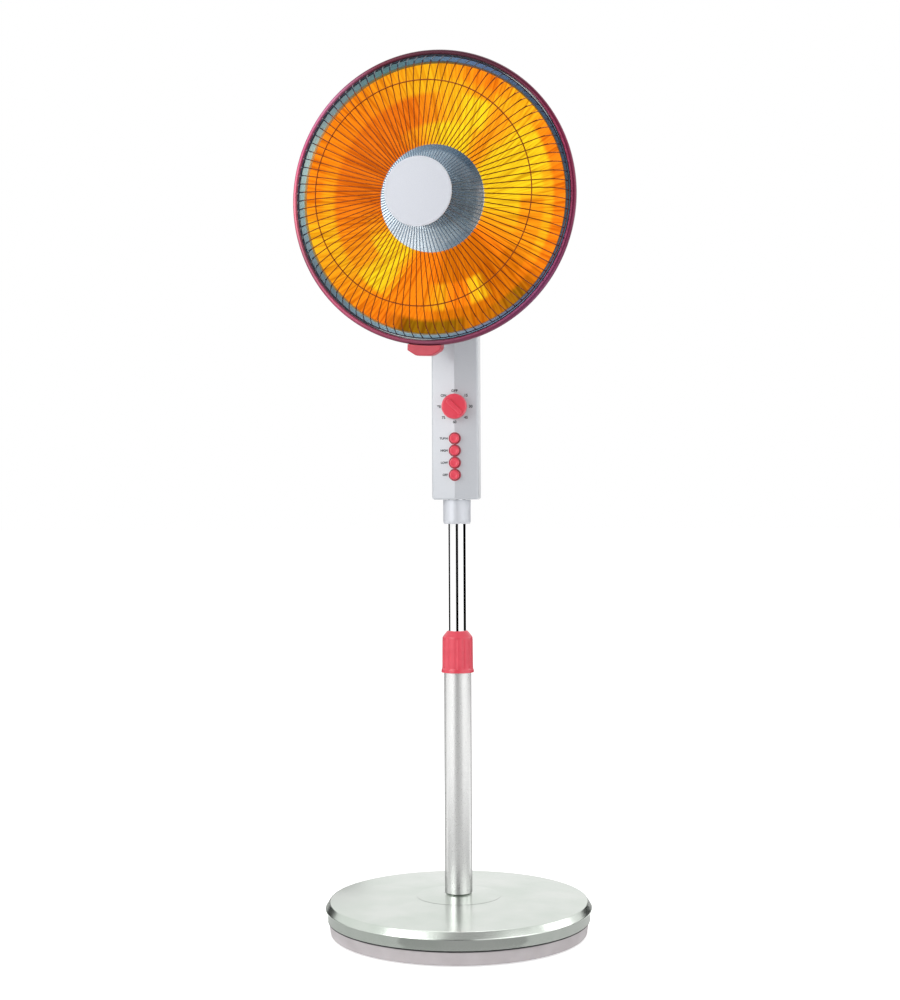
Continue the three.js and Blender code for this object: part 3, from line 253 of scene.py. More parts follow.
def new_material(name, colour, roughness, metallic=0.0, **sockets):
    material = bpy.data.materials.new(name)
    material.use_nodes = True
    tree = material.node_tree
    shader = tree.nodes["Principled BSDF"]
    shader.inputs["Base Color"].default_value = (*shade(colour), 1.0)
    shader.inputs["Roughness"].default_value = roughness
    shader.inputs["Metallic"].default_value = metallic
    for key, value in sockets.items():
        shader.inputs[key.replace("_", " ")].default_value = value
    return material, tree, shader


def object_place(tree):
    return add(tree, "ShaderNodeTexCoord").outputs["Object"]


def head_place(tree):
    """Object coordinates brought into the head's own axes."""
    inputs = {"Vector": object_place(tree), "Location": HEAD.to_translation(),
              "Rotation": HEAD.to_euler()}
    return add(tree, "ShaderNodeMapping", inputs, vector_type="TEXTURE").outputs["Vector"]


def noise(tree, place, grain_mm, detail=2.0, roughness=0.5):
    """Noise whose spots are about grain_mm across."""
    inputs = {"Vector": place, "Scale": 1 / (grain_mm * MM), "Detail": detail, "Roughness": roughness}
    return add(tree, "ShaderNodeTexNoise", inputs).outputs["Fac"]


def noise_along(tree, value, **inputs):
    """Noise that changes with one value alone."""
    made = add(tree, "ShaderNodeTexNoise", {"W": value, **inputs}, noise_dimensions="1D")
    return made.outputs["Fac"]


def bumped(tree, shader, height, depth_mm, strength=1.0):
    made = add(tree, "ShaderNodeBump", {"Height": height, "Strength": strength,
                                        "Distance": depth_mm * MM})
    tree.links.new(made.outputs["Normal"], shader.inputs["Normal"])


def spread(tree, value, low_end, high_end, start=0.0, end=1.0, **settings):
    """Maps start..end to low_end..high_end."""
    return add(tree, "ShaderNodeMapRange", {"Value": value, "From Min": start, "From Max": end,
                                            "To Min": low_end, "To Max": high_end},
               **settings).outputs["Result"]


def ramp(tree, value, stops, setting=None):
    """A colour by value, from stops of (position, hex colour) that move with a colour setting."""
    made = add(tree, "ShaderNodeValToRGB", {"Fac": value})
    change = change_of(setting) if setting else (1.0, 1.0, 1.0)
    elements = made.color_ramp.elements
    while len(elements) > 1:
        elements.remove(elements[-1])
    for i, (position, hex_colour) in enumerate(stops):
        element = elements[0] if i == 0 else elements.new(position)
        element.position = position
        element.color = (*(tone * move for tone, move in zip(linear(hex_colour), change)), 1.0)
    return made.outputs["Color"]


def mixed(tree, factor, first, second, blend="MIX"):
    made = add(tree, "ShaderNodeMix", data_type="RGBA", blend_type=blend)
    for name, value in (("Factor_Float", factor), ("A_Color", first), ("B_Color", second)):
        socket = next(s for s in made.inputs if s.identifier == name)
        if isinstance(value, bpy.types.NodeSocket):
            tree.links.new(value, socket)
        else:
            socket.default_value = value
    return next(s for s in made.outputs if s.identifier == "Result_Color")


def radius_of(tree, place):
    """Distance from the local Z axis."""
    return vector_maths(tree, "LENGTH", vector_maths(tree, "MULTIPLY", place, (1, 1, 0)))


def angle_of(tree, place):
    """Angle about the local Z axis, 0..1, from 6 o'clock through 9 o'clock (seen from in front)."""
    split = add(tree, "ShaderNodeSeparateXYZ", {"Vector": place})
    turn = maths(tree, "ARCTAN2", split.outputs["X"], split.outputs["Y"])
    return spread(tree, turn, 0.0, 1.0, -math.pi, math.pi)


# ---- Materials ---------------------------------------------------------------
def feed(shader, **sockets):
    """Links values to the shader's sockets."""
    for key, value in sockets.items():
        shader.id_data.links.new(value, shader.inputs[key.replace("_", " ")])


def grained(name, colour, roughness, tint=None, rough=None, relief=None, place=object_place,
            metallic=0.0, **sockets):
    """A material of one substance, uneven in small ways that each follow a noise.

    tint is (spots, two tones as (position, hex colour)), rough is (spots, lowest, highest), relief is
    (spots, depth in mm, strength). Spots are (size in mm, detail) or (size, detail, roughness)."""
    material, tree, shader = new_material(name, colour, roughness, metallic, **sockets)
    setting = None if colour.startswith("#") else colour
    where = place(tree)
    noises = {}

    def noise_of(spots):
        if spots not in noises:
            noises[spots] = noise(tree, where, *spots)
        return noises[spots]

    if tint:
        spots, *tones = tint
        feed(shader, Base_Color=ramp(tree, noise_of(spots), tones, setting))
    if rough:
        spots, *ends = rough
        feed(shader, Roughness=spread(tree, noise_of(spots), *ends))
    if relief:
        spots, *height = relief
        bumped(tree, shader, noise_of(spots), *height)
    return material


def clouded(tree, shader, place, tint, spots, share, second, rough):
    """Feeds a tint, clouded by up to a share of a second colour, and a roughness to go with it."""
    cloud = noise(tree, place, *spots)
    feed(shader, Base_Color=mixed(tree, spread(tree, cloud, 0.0, share), tint, rgba(second)),
         Roughness=spread(tree, cloud, *rough))


def polished_steel():
    """Stainless sheet, spun and polished: faint rings from the polishing wheel in a near mirror."""
    material, tree, shader = new_material("polished_stainless_sheet", "steel", 0.2, 1.0)
    place = object_place(tree)
    rings = noise_along(tree, radius_of(tree, place), Scale=1 / (0.9 * MM), Detail=3.0)
    tint = ramp(tree, noise(tree, place, 60.0), [(0.3, "#CCD5CC"), (0.7, "#DADFD9")], "steel")
    feed(shader, Base_Color=tint, Roughness=spread(tree, rings, 0.16, 0.25))
    bumped(tree, shader, rings, 0.006, 0.3)
    return material


def tray_plastic():
    """Injection-moulded ABS with a fine spark-eroded grain, slightly dusty."""
    return grained("moulded_abs_tray", "tray", 0.5, IOR=1.54,
                   tint=((35.0, 4.0), (0.3, "#C6BFC1"), (0.7, "#D3CDCF")),
                   rough=((0.8, 3.0), 0.42, 0.6), relief=((0.8, 3.0), 0.05, 0.5))


def dark_plastic():
    """Black ABS, matt, with a moulded grain."""
    return grained("black_abs", "#1D1E20", 0.5, IOR=1.54,
                   rough=((0.9, 3.0), 0.42, 0.6), relief=((0.9, 3.0), 0.04, 0.5))


def rubber():
    """Moulded nitrile rubber: dull, with scuffs."""
    scuffs = (2.5, 6.0, 0.7)
    return grained("moulded_rubber", "#2B2B2C", 0.85, IOR=1.52,
                   tint=(scuffs, (0.4, "#232324"), (0.8, "#3A3A3A")), relief=(scuffs, 0.1, 0.4))


def seal_rubber():
    """Silicone of the seal inside the ring: slate, dull, a little dusty."""
    return grained("slate_silicone", "#33414E", 0.6, IOR=1.4,
                   tint=((3.0, 3.0), (0.3, "#2E3B47"), (0.7, "#3C4C5A")))


def pearl_paint():
    """Silver-white metallic lacquer: a soft mirror, so the round tube has a grey band down it."""
    return grained("pearl_metallic_lacquer", "pearl", 0.28, metallic=0.75, IOR=1.5,
                   Coat_Weight=0.2, Coat_Roughness=0.12,
                   tint=((0.25, 1.0), (0.35, "#DCDDDC"), (0.65, "#E0E0DF")),
                   rough=((1.6, 2.0), 0.25, 0.32), relief=((1.6, 2.0), 0.008, 0.3))


def socket_plastic():
    """ABS under a bluish white satin lacquer, duller than the metal tube below it."""
    return grained("bluish_white_abs", "#E0E3E8", 0.38, metallic=0.2, IOR=1.5,
                   tint=((0.3, 1.0), (0.35, "#D3D6DD"), (0.65, "#DDE0E6")),
                   rough=((1.2, 2.0), 0.33, 0.43))


def chrome():
    """Chromium plate over steel tube: near mirror, with faint draw lines along the tube."""
    def along_tube(tree):
        return add(tree, "ShaderNodeMapping", {"Vector": object_place(tree),
                                               "Scale": (1, 1, 0.02)}).outputs["Vector"]

    return grained("chrome_plate", "#F4F5F5", 0.03, metallic=1.0, place=along_tube,
                   rough=((0.7, 2.0), 0.02, 0.05))


def plain_steel():
    """Zinc-plated steel of screws and fittings, a little cloudy."""
    return grained("zinc_plated_steel", "#A9ADB0", 0.35, metallic=1.0,
                   tint=((3.0, 3.0), (0.3, "#989DA2"), (0.7, "#B9BCBE")),
                   rough=((3.0, 3.0), 0.28, 0.45))


def cast_iron():
    """Grey cast iron with a sandy skin."""
    sand = (1.2, 5.0, 0.6)
    return grained("grey_cast_iron", "#4A4A4C", 0.75, metallic=0.6,
                   tint=(sand, (0.3, "#3A3A3C"), (0.7, "#58585A")), relief=(sand, 0.15, 0.6))


def nylon():
    """Natural nylon: warm white, waxy."""
    return grained("natural_nylon", "#E6E2D8", 0.5, IOR=1.53,
                   tint=((8.0, 3.0), (0.3, "#DED9CD"), (0.7, "#ECE8DF")),
                   rough=((8.0, 3.0), 0.42, 0.58))


def coral_plastic():
    """Coral ABS, satin moulded, with a fine grain and a soft gloss."""
    return grained("coral_abs", "coral", 0.34, IOR=1.54, Coat_Weight=0.25, Coat_Roughness=0.15,
                   tint=((12.0, 3.0), (0.3, "#E63F54"), (0.7, "#F04C60")),
                   rough=((0.5, 2.0), 0.28, 0.4), relief=((0.5, 2.0), 0.015, 0.4))


def clip_plastic():
    """The clip's deeper red ABS, satin moulded, with a fine grain; its red is partly its own and partly
    painted shade from the ring above it.
    """
    return grained("deep_red_abs_painted_shade", "#C83B4C", 0.36, IOR=1.54,
                   tint=((12.0, 3.0), (0.3, "#C33547"), (0.7, "#CC4051")),
                   rough=((0.5, 2.0), 0.3, 0.42), relief=((0.5, 2.0), 0.015, 0.4))


def rim_plastic():
    """Dusky red ABS of the sleeves that the buttons slide in, darkened as painted shade of the gap
    round each button.
    """
    return grained("dusky_red_abs_painted_shade", "#B4505C", 0.45, IOR=1.54,
                   tint=((0.6, 2.0), (0.3, "#AC4854"), (0.7, "#BC5864")))


def housing_plastic():
    """Silver-white ABS with fine metallic flake under satin lacquer."""
    return grained("silver_white_abs", "housing", 0.32, metallic=0.08, IOR=1.54,
                   Coat_Weight=0.3, Coat_Roughness=0.12,
                   tint=((0.3, 1.0), (0.35, "#C6CAD0"), (0.65, "#D1D4D9")),
                   rough=((0.8, 2.0), 0.27, 0.37), relief=((0.8, 2.0), 0.01, 0.3))


def rear_paint():
    """Baked enamel on pressed steel: smooth, with a slight orange peel."""
    return grained("baked_enamel", "rear", 0.3, metallic=0.1, IOR=1.5,
                   Coat_Weight=0.4, Coat_Roughness=0.1,
                   tint=((40.0, 3.0), (0.3, "#D2D4D8"), (0.7, "#DEDFE2")),
                   rough=((2.2, 2.0), 0.24, 0.36), relief=((2.2, 2.0), 0.02, 0.4))


def cap_lacquer():
    """Silver-white lacquer on the pressed cap, nearly flat, with a fine flake."""
    return grained("pale_silver_lacquer", "cap", 0.5, place=head_place, IOR=1.35,
                   tint=((0.3, 1.0), (0.35, "#D5D8E1"), (0.65, "#DFE2E9")),
                   rough=((0.3, 1.0), 0.45, 0.56))


def ceramic():
    """Unglazed steatite ceramic: cream, chalky."""
    return grained("steatite_ceramic", "#F1ECE0", 0.65, IOR=1.6,
                   tint=((1.0, 4.0), (0.3, "#E8E2D4"), (0.7, "#F5F1E8")),
                   relief=((1.0, 4.0), 0.05, 0.4))


def printing_ink():
    """Pad-printed ink, thin and matt."""
    return grained("pad_printed_ink", "print_ink", 0.6,
                   tint=((0.6, 2.0), (0.3, "#15171B"), (0.8, "#222529")))


def hot_wire():
    """Resistance wire at red heat."""
    material, tree, shader = new_material("resistance_wire", "#D9702A", 0.5, 0.5)
    glow = ramp(tree, noise(tree, object_place(tree), 6.0), [(0.3, "#FF7A1E"), (0.7, "#FFB040")])
    feed(shader, Base_Color=glow, Emission_Color=glow)
    shader.inputs["Emission Strength"].default_value = 1.0
    return material


def raspberry_lacquer():
    """Candy lacquer over a metallic coat, with painted light and shade: it runs from pink at one side,
    painted lit, to maroon at the top, painted shade.
    """
    material, tree, shader = new_material("raspberry_lacquer_painted_light", "raspberry", 0.28, 0.4,
                                          IOR=1.3)
    place = head_place(tree)
    # Painted light and shade round the ring: painted lit pink at the left, maroon painted shade at the
    # top and the right.
    tint = ramp(tree, angle_of(tree, place), [
        (0.0, "#723A4E"), (0.062, "#84364E"), (0.125, "#AA4E68"), (0.188, "#8E4C5E"),
        (0.25, "#D06E7E"), (0.312, "#AA4A6E"), (0.375, "#A46280"), (0.438, "#581C2C"),
        (0.5, "#34101E"), (0.562, "#3A1020"), (0.625, "#5C1832"), (0.688, "#7F2044"),
        (0.75, "#70183A"), (0.812, "#762C50"), (0.875, "#74325C"), (0.938, "#76304E"),
        (1.0, "#723A4E")], "raspberry")
    clouded(tree, shader, place, tint, (0.4, 1.0), 0.08, "#E58AA6", (0.24, 0.34))
    return material


def dish_edge():
    """The dish's rim band in bare satin aluminium, painted bluish, with painted light and shade: from
    pale at the left, with a painted highlight, to slate in painted shade at the right.
    """
    material, tree, shader = new_material("satin_aluminium_rim_painted_light", "#93A6B2", 0.3, 0.8)
    place = head_place(tree)
    # Painted light and shade round the band: pale and lit at the left with a painted highlight above
    # it, slate in painted shade at the top and the right.
    tint = ramp(tree, angle_of(tree, place), [
        (0.0, "#96C0D2"), (0.07, "#9CC4D6"), (0.13, "#8CAEC0"), (0.2, "#98B6C2"),
        (0.25, "#A4C8CC"), (0.31, "#D2F2EC"), (0.375, "#A0C2CA"), (0.44, "#78ACAE"),
        (0.5, "#6486A0"), (0.56, "#5A76A0"), (0.63, "#446080"), (0.75, "#3C5A72"),
        (0.81, "#42607E"), (0.875, "#587094"), (0.94, "#86A0C4"), (1.0, "#96C0D2")])
    clouded(tree, shader, place, tint, (12.0, 2.0), 0.12, "#7690A2", (0.3, 0.4))
    return material


def shield_steel():
    """Spun steel shield, bluish, with painted light, shade and reflection: bright on one side, dark on
    the other, with a painted bright crescent at the right.
    """
    material, tree, shader = new_material("bluish_steel_painted_light", "shield", 0.28, 0.7)
    place = head_place(tree)
    turn = angle_of(tree, place)
    # Painted light and shade: bright below and at the left, dark at the top and upper right. Past 58 to
    # 62 mm, a painted reflection adds a bright crescent at the right.
    inner = ramp(tree, turn, [
        (0.0, "#D2E0E8"), (0.1, "#DCE6EC"), (0.25, "#D0DEE6"), (0.4, "#B4C6D2"), (0.5, "#A6BAC8"),
        (0.62, "#9AB0C0"), (0.75, "#B4C6D2"), (0.86, "#A8BCC8"), (0.94, "#BED0DA"),
        (1.0, "#D2E0E8")], "shield")
    outer = ramp(tree, turn, [
        (0.0, "#D2E0E8"), (0.1, "#DCE6EC"), (0.25, "#C8D6E0"), (0.4, "#A4B8C6"),
        (0.48, "#6E869A"), (0.64, "#5C7890"), (0.7, "#9AAEBC"), (0.74, "#E6F0F4"),
        (0.83, "#E6F0F4"), (0.87, "#94AABA"), (0.94, "#9CB4C4"), (1.0, "#D2E0E8")], "shield")
    outward = spread(tree, radius_of(tree, place), 0.0, 1.0, 58 * MM, 62 * MM)
    clouded(tree, shader, place, mixed(tree, outward, inner, outer), (14.0, 3.0), 0.15, "#7C92A4",
            (0.2, 0.34))
    return material


# The painted glow, from a painted reflection of the hottest mirror image of the element to painted
# shade, brown and olive, at the edge of the bowl.
YELLOW, GOLD, AMBER, ORANGE, EMBER, BROWN, OLIVE = (
    "#FFDA22", "#FFBC1E", "#FFA21A", "#FF8C16", "#F07816", "#D8780C", "#94680A")
# Where the bowl shows it: rings by their inner radius in metres, and in each ring the tones from
# 6 o'clock through 9, 12 and 3.
GLOW_RINGS = (
    (0.000, [(0.0, BROWN), (0.02, ORANGE), (0.085, ORANGE), (0.11, YELLOW), (0.165, YELLOW),
             (0.2, AMBER), (0.25, EMBER), (0.4, EMBER), (0.45, AMBER), (0.5, YELLOW), (0.565, YELLOW),
             (0.585, AMBER), (0.605, AMBER), (0.64, YELLOW), (0.76, YELLOW), (0.79, GOLD),
             (0.83, AMBER), (0.86, ORANGE), (0.88, BROWN), (1.0, BROWN)]),
    (0.104, [(0.0, GOLD), (0.03, ORANGE), (0.085, ORANGE), (0.1, YELLOW), (0.125, YELLOW),
             (0.155, AMBER), (0.22, ORANGE), (0.26, EMBER), (0.46, EMBER), (0.5, AMBER), (0.56, YELLOW),
             (0.58, YELLOW), (0.6, AMBER), (0.62, AMBER), (0.65, YELLOW), (0.735, YELLOW),
             (0.755, AMBER), (0.83, AMBER), (0.86, BROWN), (0.915, BROWN), (0.935, YELLOW),
             (0.945, GOLD), (0.957, ORANGE), (0.985, ORANGE), (1.0, GOLD)]),
    (0.139, [(0.0, BROWN), (0.02, ORANGE), (0.09, ORANGE), (0.13, AMBER), (0.17, GOLD), (0.22, GOLD),
             (0.27, AMBER), (0.32, ORANGE), (0.39, ORANGE), (0.44, AMBER), (0.47, GOLD), (0.535, GOLD),
             (0.56, AMBER), (0.585, AMBER), (0.6, GOLD), (0.64, GOLD), (0.66, YELLOW), (0.7, YELLOW),
             (0.72, GOLD), (0.82, GOLD), (0.85, ORANGE), (0.88, BROWN), (0.96, BROWN), (1.0, BROWN)]),
    (0.153, [(0.0, OLIVE), (0.04, OLIVE), (0.065, EMBER), (0.1, ORANGE), (0.15, AMBER), (0.21, GOLD),
             (0.26, ORANGE), (0.38, ORANGE), (0.44, AMBER), (0.5, GOLD), (0.56, ORANGE), (0.59, ORANGE),
             (0.615, GOLD), (0.64, GOLD), (0.67, ORANGE), (0.83, ORANGE), (0.86, BROWN), (0.885, OLIVE),
             (0.95, BROWN), (0.975, OLIVE), (1.0, OLIVE)]),
)
RING_BLEND = 0.004
DRAW_LINES = 260.0
GLOW_STRENGTH = 0.97


def glowing_dish():
    """Gold-anodised aluminium dish at full heat, lit by painted light: amber, in sectors of painted
    reflection where it mirrors the element, with painted shade at its edge and fine draw lines.
    Only its front glows. The back of the same sheet is bare aluminium."""
    material, tree, shader = new_material("gold_dish_painted_glow", "#6E420C", 0.3, 1.0)
    place = head_place(tree)
    turn = angle_of(tree, place)
    radius = radius_of(tree, place)
    fine = noise_along(tree, turn, Scale=90.0, Detail=4.0, Roughness=0.7)
    wander = maths(tree, "ADD", spread(tree, fine, -0.018, 0.018), turn)
    glow = None
    for start, stops in GLOW_RINGS:
        tint = ramp(tree, wander, stops)
        if glow is None:
            glow = tint
            continue
        outward = spread(tree, radius, 0.0, 1.0, start - RING_BLEND, start + RING_BLEND,
                         interpolation_type="SMOOTHSTEP")
        glow = mixed(tree, outward, glow, tint)
    streak_place = add(tree, "ShaderNodeCombineXYZ", {
        "X": maths(tree, "MULTIPLY", turn, DRAW_LINES), "Y": maths(tree, "MULTIPLY", radius, 14.0)})
    streaks = add(tree, "ShaderNodeTexNoise", {"Vector": streak_place.outputs[0], "Scale": 1.0,
                                               "Detail": 3.0}).outputs["Fac"]
    drawn = ramp(tree, streaks, [(0.35, "#D2BCA4"), (0.58, "#FFFFFF")])
    lit = mixed(tree, 1.0, glow, drawn, "MULTIPLY")
    # Only the front is given the painted glow; the back stays bare aluminium.
    forward = vector_maths(tree, "DOT_PRODUCT", add(tree, "ShaderNodeTexCoord").outputs["Normal"],
                           HEAD.to_3x3() @ Vector((0, 0, 1)))
    front = maths(tree, "GREATER_THAN", forward, 0.0)
    feed(shader, Emission_Color=lit, Emission_Strength=spread(tree, front, 0.0, GLOW_STRENGTH),
         Base_Color=mixed(tree, front, rgba("#A8ACAE"), mixed(tree, 0.7, lit, rgba("#000000"))),
         Roughness=spread(tree, streaks, 0.24, 0.4))
    return material


def grille_wire():
    """Chromed wire 1.3 mm thick, with painted reflection: its colour copies what is behind it, the pale
    shield, the amber dish and the dark rim, each shifted a little because the wires stand in front of
    them."""
    material, tree, shader = new_material("plated_wire_painted_reflection", "wire", 0.25, 0.85)
    place = head_place(tree)

    def past(x, y, radius, blend=1.5):
        """1 outside a circle in the plane of the wires, 0 inside; all in mm."""
        from_centre = vector_maths(tree, "SUBTRACT", place, (x * MM, y * MM, 0))
        return spread(tree, radius_of(tree, from_centre), 0.0, 1.0, (radius - blend) * MM,
                      (radius + blend) * MM)

    # Painted reflection: amber over the dish, pale blue-grey over the shield, dark navy past the rim.
    amber = ramp(tree, noise(tree, place, 5.0), [(0.3, "#6E300A"), (0.7, "#8E440E")], "wire")
    over_dish = mixed(tree, past(17.0, -9.0, 66.0), rgba("#64788A"), amber)
    feed(shader, Base_Color=mixed(tree, past(9.0, -4.0, 167.0), over_dish, rgba("#222C3C")))
    return material


MATERIALS = {}


def finish(maker):
    """The material that a maker makes, made once."""
    if maker not in MATERIALS:
        MATERIALS[maker] = maker()
    return MATERIALS[maker]


# ---- Mesh helpers ------------------------------------------------------------
def mesh_of(build):
    """A mesh filled by build(bm), with its faces turned outwards."""
    bm = bmesh.new()
    build(bm)
    bmesh.ops.remove_doubles(bm, verts=bm.verts, dist=1e-6)
    bmesh.ops.recalc_face_normals(bm, faces=bm.faces)
    mesh = bpy.data.meshes.new("piece")
    bm.to_mesh(mesh)
    bm.free()
    return mesh


def eased(outline, steps=4):
    """Rounds the corners of a closed outline of (x, y) or (x, y, setback) points."""
    points = []
    count = len(outline)
    for i, corner in enumerate(outline):
        here = Vector(corner[:2])
        if len(corner) < 3:
            points.append(here)
            continue
        before = Vector(outline[i - 1][:2])
        after = Vector(outline[(i + 1) % count][:2])
        start = here + (before - here).normalized() * corner[2]
        end = here + (after - here).normalized() * corner[2]
        for k in range(steps + 1):
            t = k / steps
            points.append(start * (1 - t) ** 2 + here * 2 * t * (1 - t) + end * t * t)
    return points


def turned(outline, steps=None, wave=None):
    """A solid of revolution about +Z from a closed outline of (radius, height[, setback]) in mm.

    wave(angle, radius, height) may give a change of radius in mm."""
    points = eased(outline)
    count = steps or sizes().round_steps

    def build(bm):
        rings = []
        for k in range(count):
            angle = 2 * math.pi * k / count
            ring = []
            for radius, height in points:
                reach = (radius + (wave(angle, radius, height) if wave else 0.0)) * MM
                place = (reach * math.cos(angle), reach * math.sin(angle), height * MM)
                ring.append(bm.verts.new(place))
            rings.append(ring)
        for k, ring in enumerate(rings):
            following = rings[(k + 1) % count]
            for i in range(len(points)):
                j = (i + 1) % len(points)
                if points[i].x < NOTHING and points[j].x < NOTHING:
                    continue
                bm.faces.new((ring[i], following[i], following[j], ring[j]))

    return mesh_of(build)


def rod(radius, start, end, steps):
    """A plain cylinder about +Z, in mm."""
    return turned([(0, start), (radius, start), (radius, end), (0, end)], steps)


def upright(plan, bottom, top, soften=0.0, segments=3):
    """A prism on a closed plan, its edges softened; all in mm."""
    def build(bm):
        base = bm.faces.new([bm.verts.new((x * MM, y * MM, bottom * MM)) for x, y in plan])
        lifted = bmesh.ops.extrude_face_region(bm, geom=[base])
        raised = [item for item in lifted["geom"] if isinstance(item, bmesh.types.BMVert)]
        bmesh.ops.translate(bm, verts=raised, vec=(0, 0, (top - bottom) * MM))
        if soften:
            rims = [edge for edge in bm.edges
                    if abs(edge.verts[0].co.z - edge.verts[1].co.z) < NOTHING]
            bmesh.ops.bevel(bm, geom=rims, offset=soften * MM, segments=segments, profile=0.5,
                            affect="EDGES", clamp_overlap=True)

    return mesh_of(build)


def joined(*meshes):
    """One mesh that holds several."""
    bm = bmesh.new()
    for mesh in meshes:
        bm.from_mesh(mesh)
        bpy.data.meshes.remove(mesh)
    mesh = bpy.data.meshes.new("joined")
    bm.to_mesh(mesh)
    bm.free()
    return mesh


def moved(mesh, matrix):
    mesh.transform(matrix)
    return mesh


def placed(name, data):
    """A new object in the scene."""
    made = bpy.data.objects.new(name, data)
    bpy.context.scene.collection.objects.link(made)
    return made


def baked(piece):
    """The piece's evaluated mesh, with the piece itself taken away."""
    graph = bpy.context.evaluated_depsgraph_get()
    mesh = bpy.data.meshes.new_from_object(piece.evaluated_get(graph))
    bpy.data.objects.remove(piece)
    return mesh


def carved(mesh, *tools, operation="DIFFERENCE"):
    """The mesh cut by closed tool meshes, or joined with them."""
    body = placed("working", mesh)
    cutters = [placed("working", tool) for tool in tools]
    for cutter in cutters:
        modifier = body.modifiers.new("cut", "BOOLEAN")
        modifier.operation = operation
        modifier.solver = "EXACT"
        modifier.object = cutter
    bpy.context.view_layer.update()
    result = baked(body)
    for cutter in cutters:
        bpy.data.objects.remove(cutter)
    if not result.polygons:
        raise RuntimeError("A cut left nothing of its piece.")
    return result


def dress(name, mesh, maker, body, slot, *nodes, matrix=None, sharp=32.0):
    """Puts a finished piece in the scene, with its place in its mesh, and gives it its body and the
    nodes that it stands for. The slot argument is not used.

    It is smooth but for its sharp edges. The large faces lead the shading, so that a rounded rim
    doesn't dim the long face beside it."""
    if matrix is not None:
        mesh.transform(matrix)
    mesh.materials.clear()
    mesh.materials.append(finish(maker))
    mesh.shade_smooth()
    mesh.set_sharp_from_angle(angle=math.radians(sharp))
    working = placed("working", mesh)
    working.modifiers.new("even", "WEIGHTED_NORMAL").keep_sharp = True
    shaded = baked(working)
    bpy.data.meshes.remove(mesh)
    shaded.name = name
    piece = placed(name, shaded)
    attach(piece, body)
    if nodes:
        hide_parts(*nodes)


# ---- Geometry nodes: copies in a ring ----------------------------------------
def ring_of_copies():
    """A tree that makes a ring of copies of its mesh about +Z, with the bare edges as wires."""
    name = "ring_of_copies"
    if name in bpy.data.node_groups:
        return bpy.data.node_groups[name]
    tree = bpy.data.node_groups.new(name, "GeometryNodeTree")
    for label, kind in (("Geometry", "Geometry"), ("Copies", "Int"), ("Wire Radius", "Float"),
                        ("Start Angle", "Float"), ("Material", "Material")):
        tree.interface.new_socket(label, in_out="INPUT", socket_type=f"NodeSocket{kind}")
    tree.interface.new_socket("Geometry", in_out="OUTPUT", socket_type="NodeSocketGeometry")
    given = tree.nodes.new("NodeGroupInput").outputs
    section = add(tree, "GeometryNodeCurvePrimitiveCircle", {"Resolution": WIRE_SIDES,
                                                             "Radius": given["Wire Radius"]})
    # An edge with no face beside it is the path of a wire.
    beside = add(tree, "GeometryNodeInputMeshEdgeNeighbors")
    compare = add(tree, "FunctionNodeCompare", data_type="INT", operation="EQUAL")
    counted, none = [s for s in compare.inputs if s.type == "INT"]
    tree.links.new(beside.outputs["Face Count"], counted)
    none.default_value = 0
    bare = {"Selection": compare.outputs["Result"]}
    path = add(tree, "GeometryNodeMeshToCurve", {"Mesh": given["Geometry"], **bare})
    wire = add(tree, "GeometryNodeCurveToMesh", {"Curve": path.outputs["Curve"], "Fill Caps": True,
                                                 "Profile Curve": section.outputs["Curve"]})
    solid = add(tree, "GeometryNodeDeleteGeometry", {"Geometry": given["Geometry"], **bare},
                domain="EDGE")
    both = add(tree, "GeometryNodeJoinGeometry")
    tree.links.new(wire.outputs["Mesh"], both.inputs["Geometry"])
    tree.links.new(solid.outputs["Geometry"], both.inputs["Geometry"])
    points = add(tree, "GeometryNodePoints", {"Count": given["Copies"]})
    index = add(tree, "GeometryNodeInputIndex").outputs["Index"]
    share = maths(tree, "DIVIDE", index, given["Copies"])
    angle = maths(tree, "MULTIPLY_ADD", share, 2 * math.pi, given["Start Angle"])
    turning = add(tree, "ShaderNodeCombineXYZ", {"Z": angle}).outputs[0]
    copies = add(tree, "GeometryNodeInstanceOnPoints", {
        "Points": points.outputs[0], "Instance": both.outputs["Geometry"], "Rotation": turning})
    real = add(tree, "GeometryNodeRealizeInstances", {"Geometry": copies.outputs["Instances"]})
    painted = add(tree, "GeometryNodeSetMaterial", {"Geometry": real.outputs["Geometry"],
                                                    "Material": given["Material"]})
    tree.links.new(painted.outputs["Geometry"], tree.nodes.new("NodeGroupOutput").inputs[0])
    return tree


def ringed(mesh, copies, maker, wire_radius=0.001, start=0.0):
    """A ring of copies of a solid mesh, or of a wire drawn along a mesh of edges."""
    piece = placed("working", mesh)
    modifier = piece.modifiers.new("ring", "NODES")
    tree = ring_of_copies()
    modifier.node_group = tree
    values = {"Copies": copies, "Wire Radius": wire_radius, "Start Angle": start,
              "Material": finish(maker)}
    for item in tree.interface.items_tree:
        if item.in_out == "INPUT" and item.name in values:
            modifier[item.identifier] = values[item.name]
    bpy.context.view_layer.update()
    return baked(piece)


def polyline(points):
    """A mesh of edges through points in mm."""
    mesh = bpy.data.meshes.new("path")
    edges = [(i, i + 1) for i in range(len(points) - 1)]
    mesh.from_pydata([Vector(point) * MM for point in points], edges, [])
    return mesh


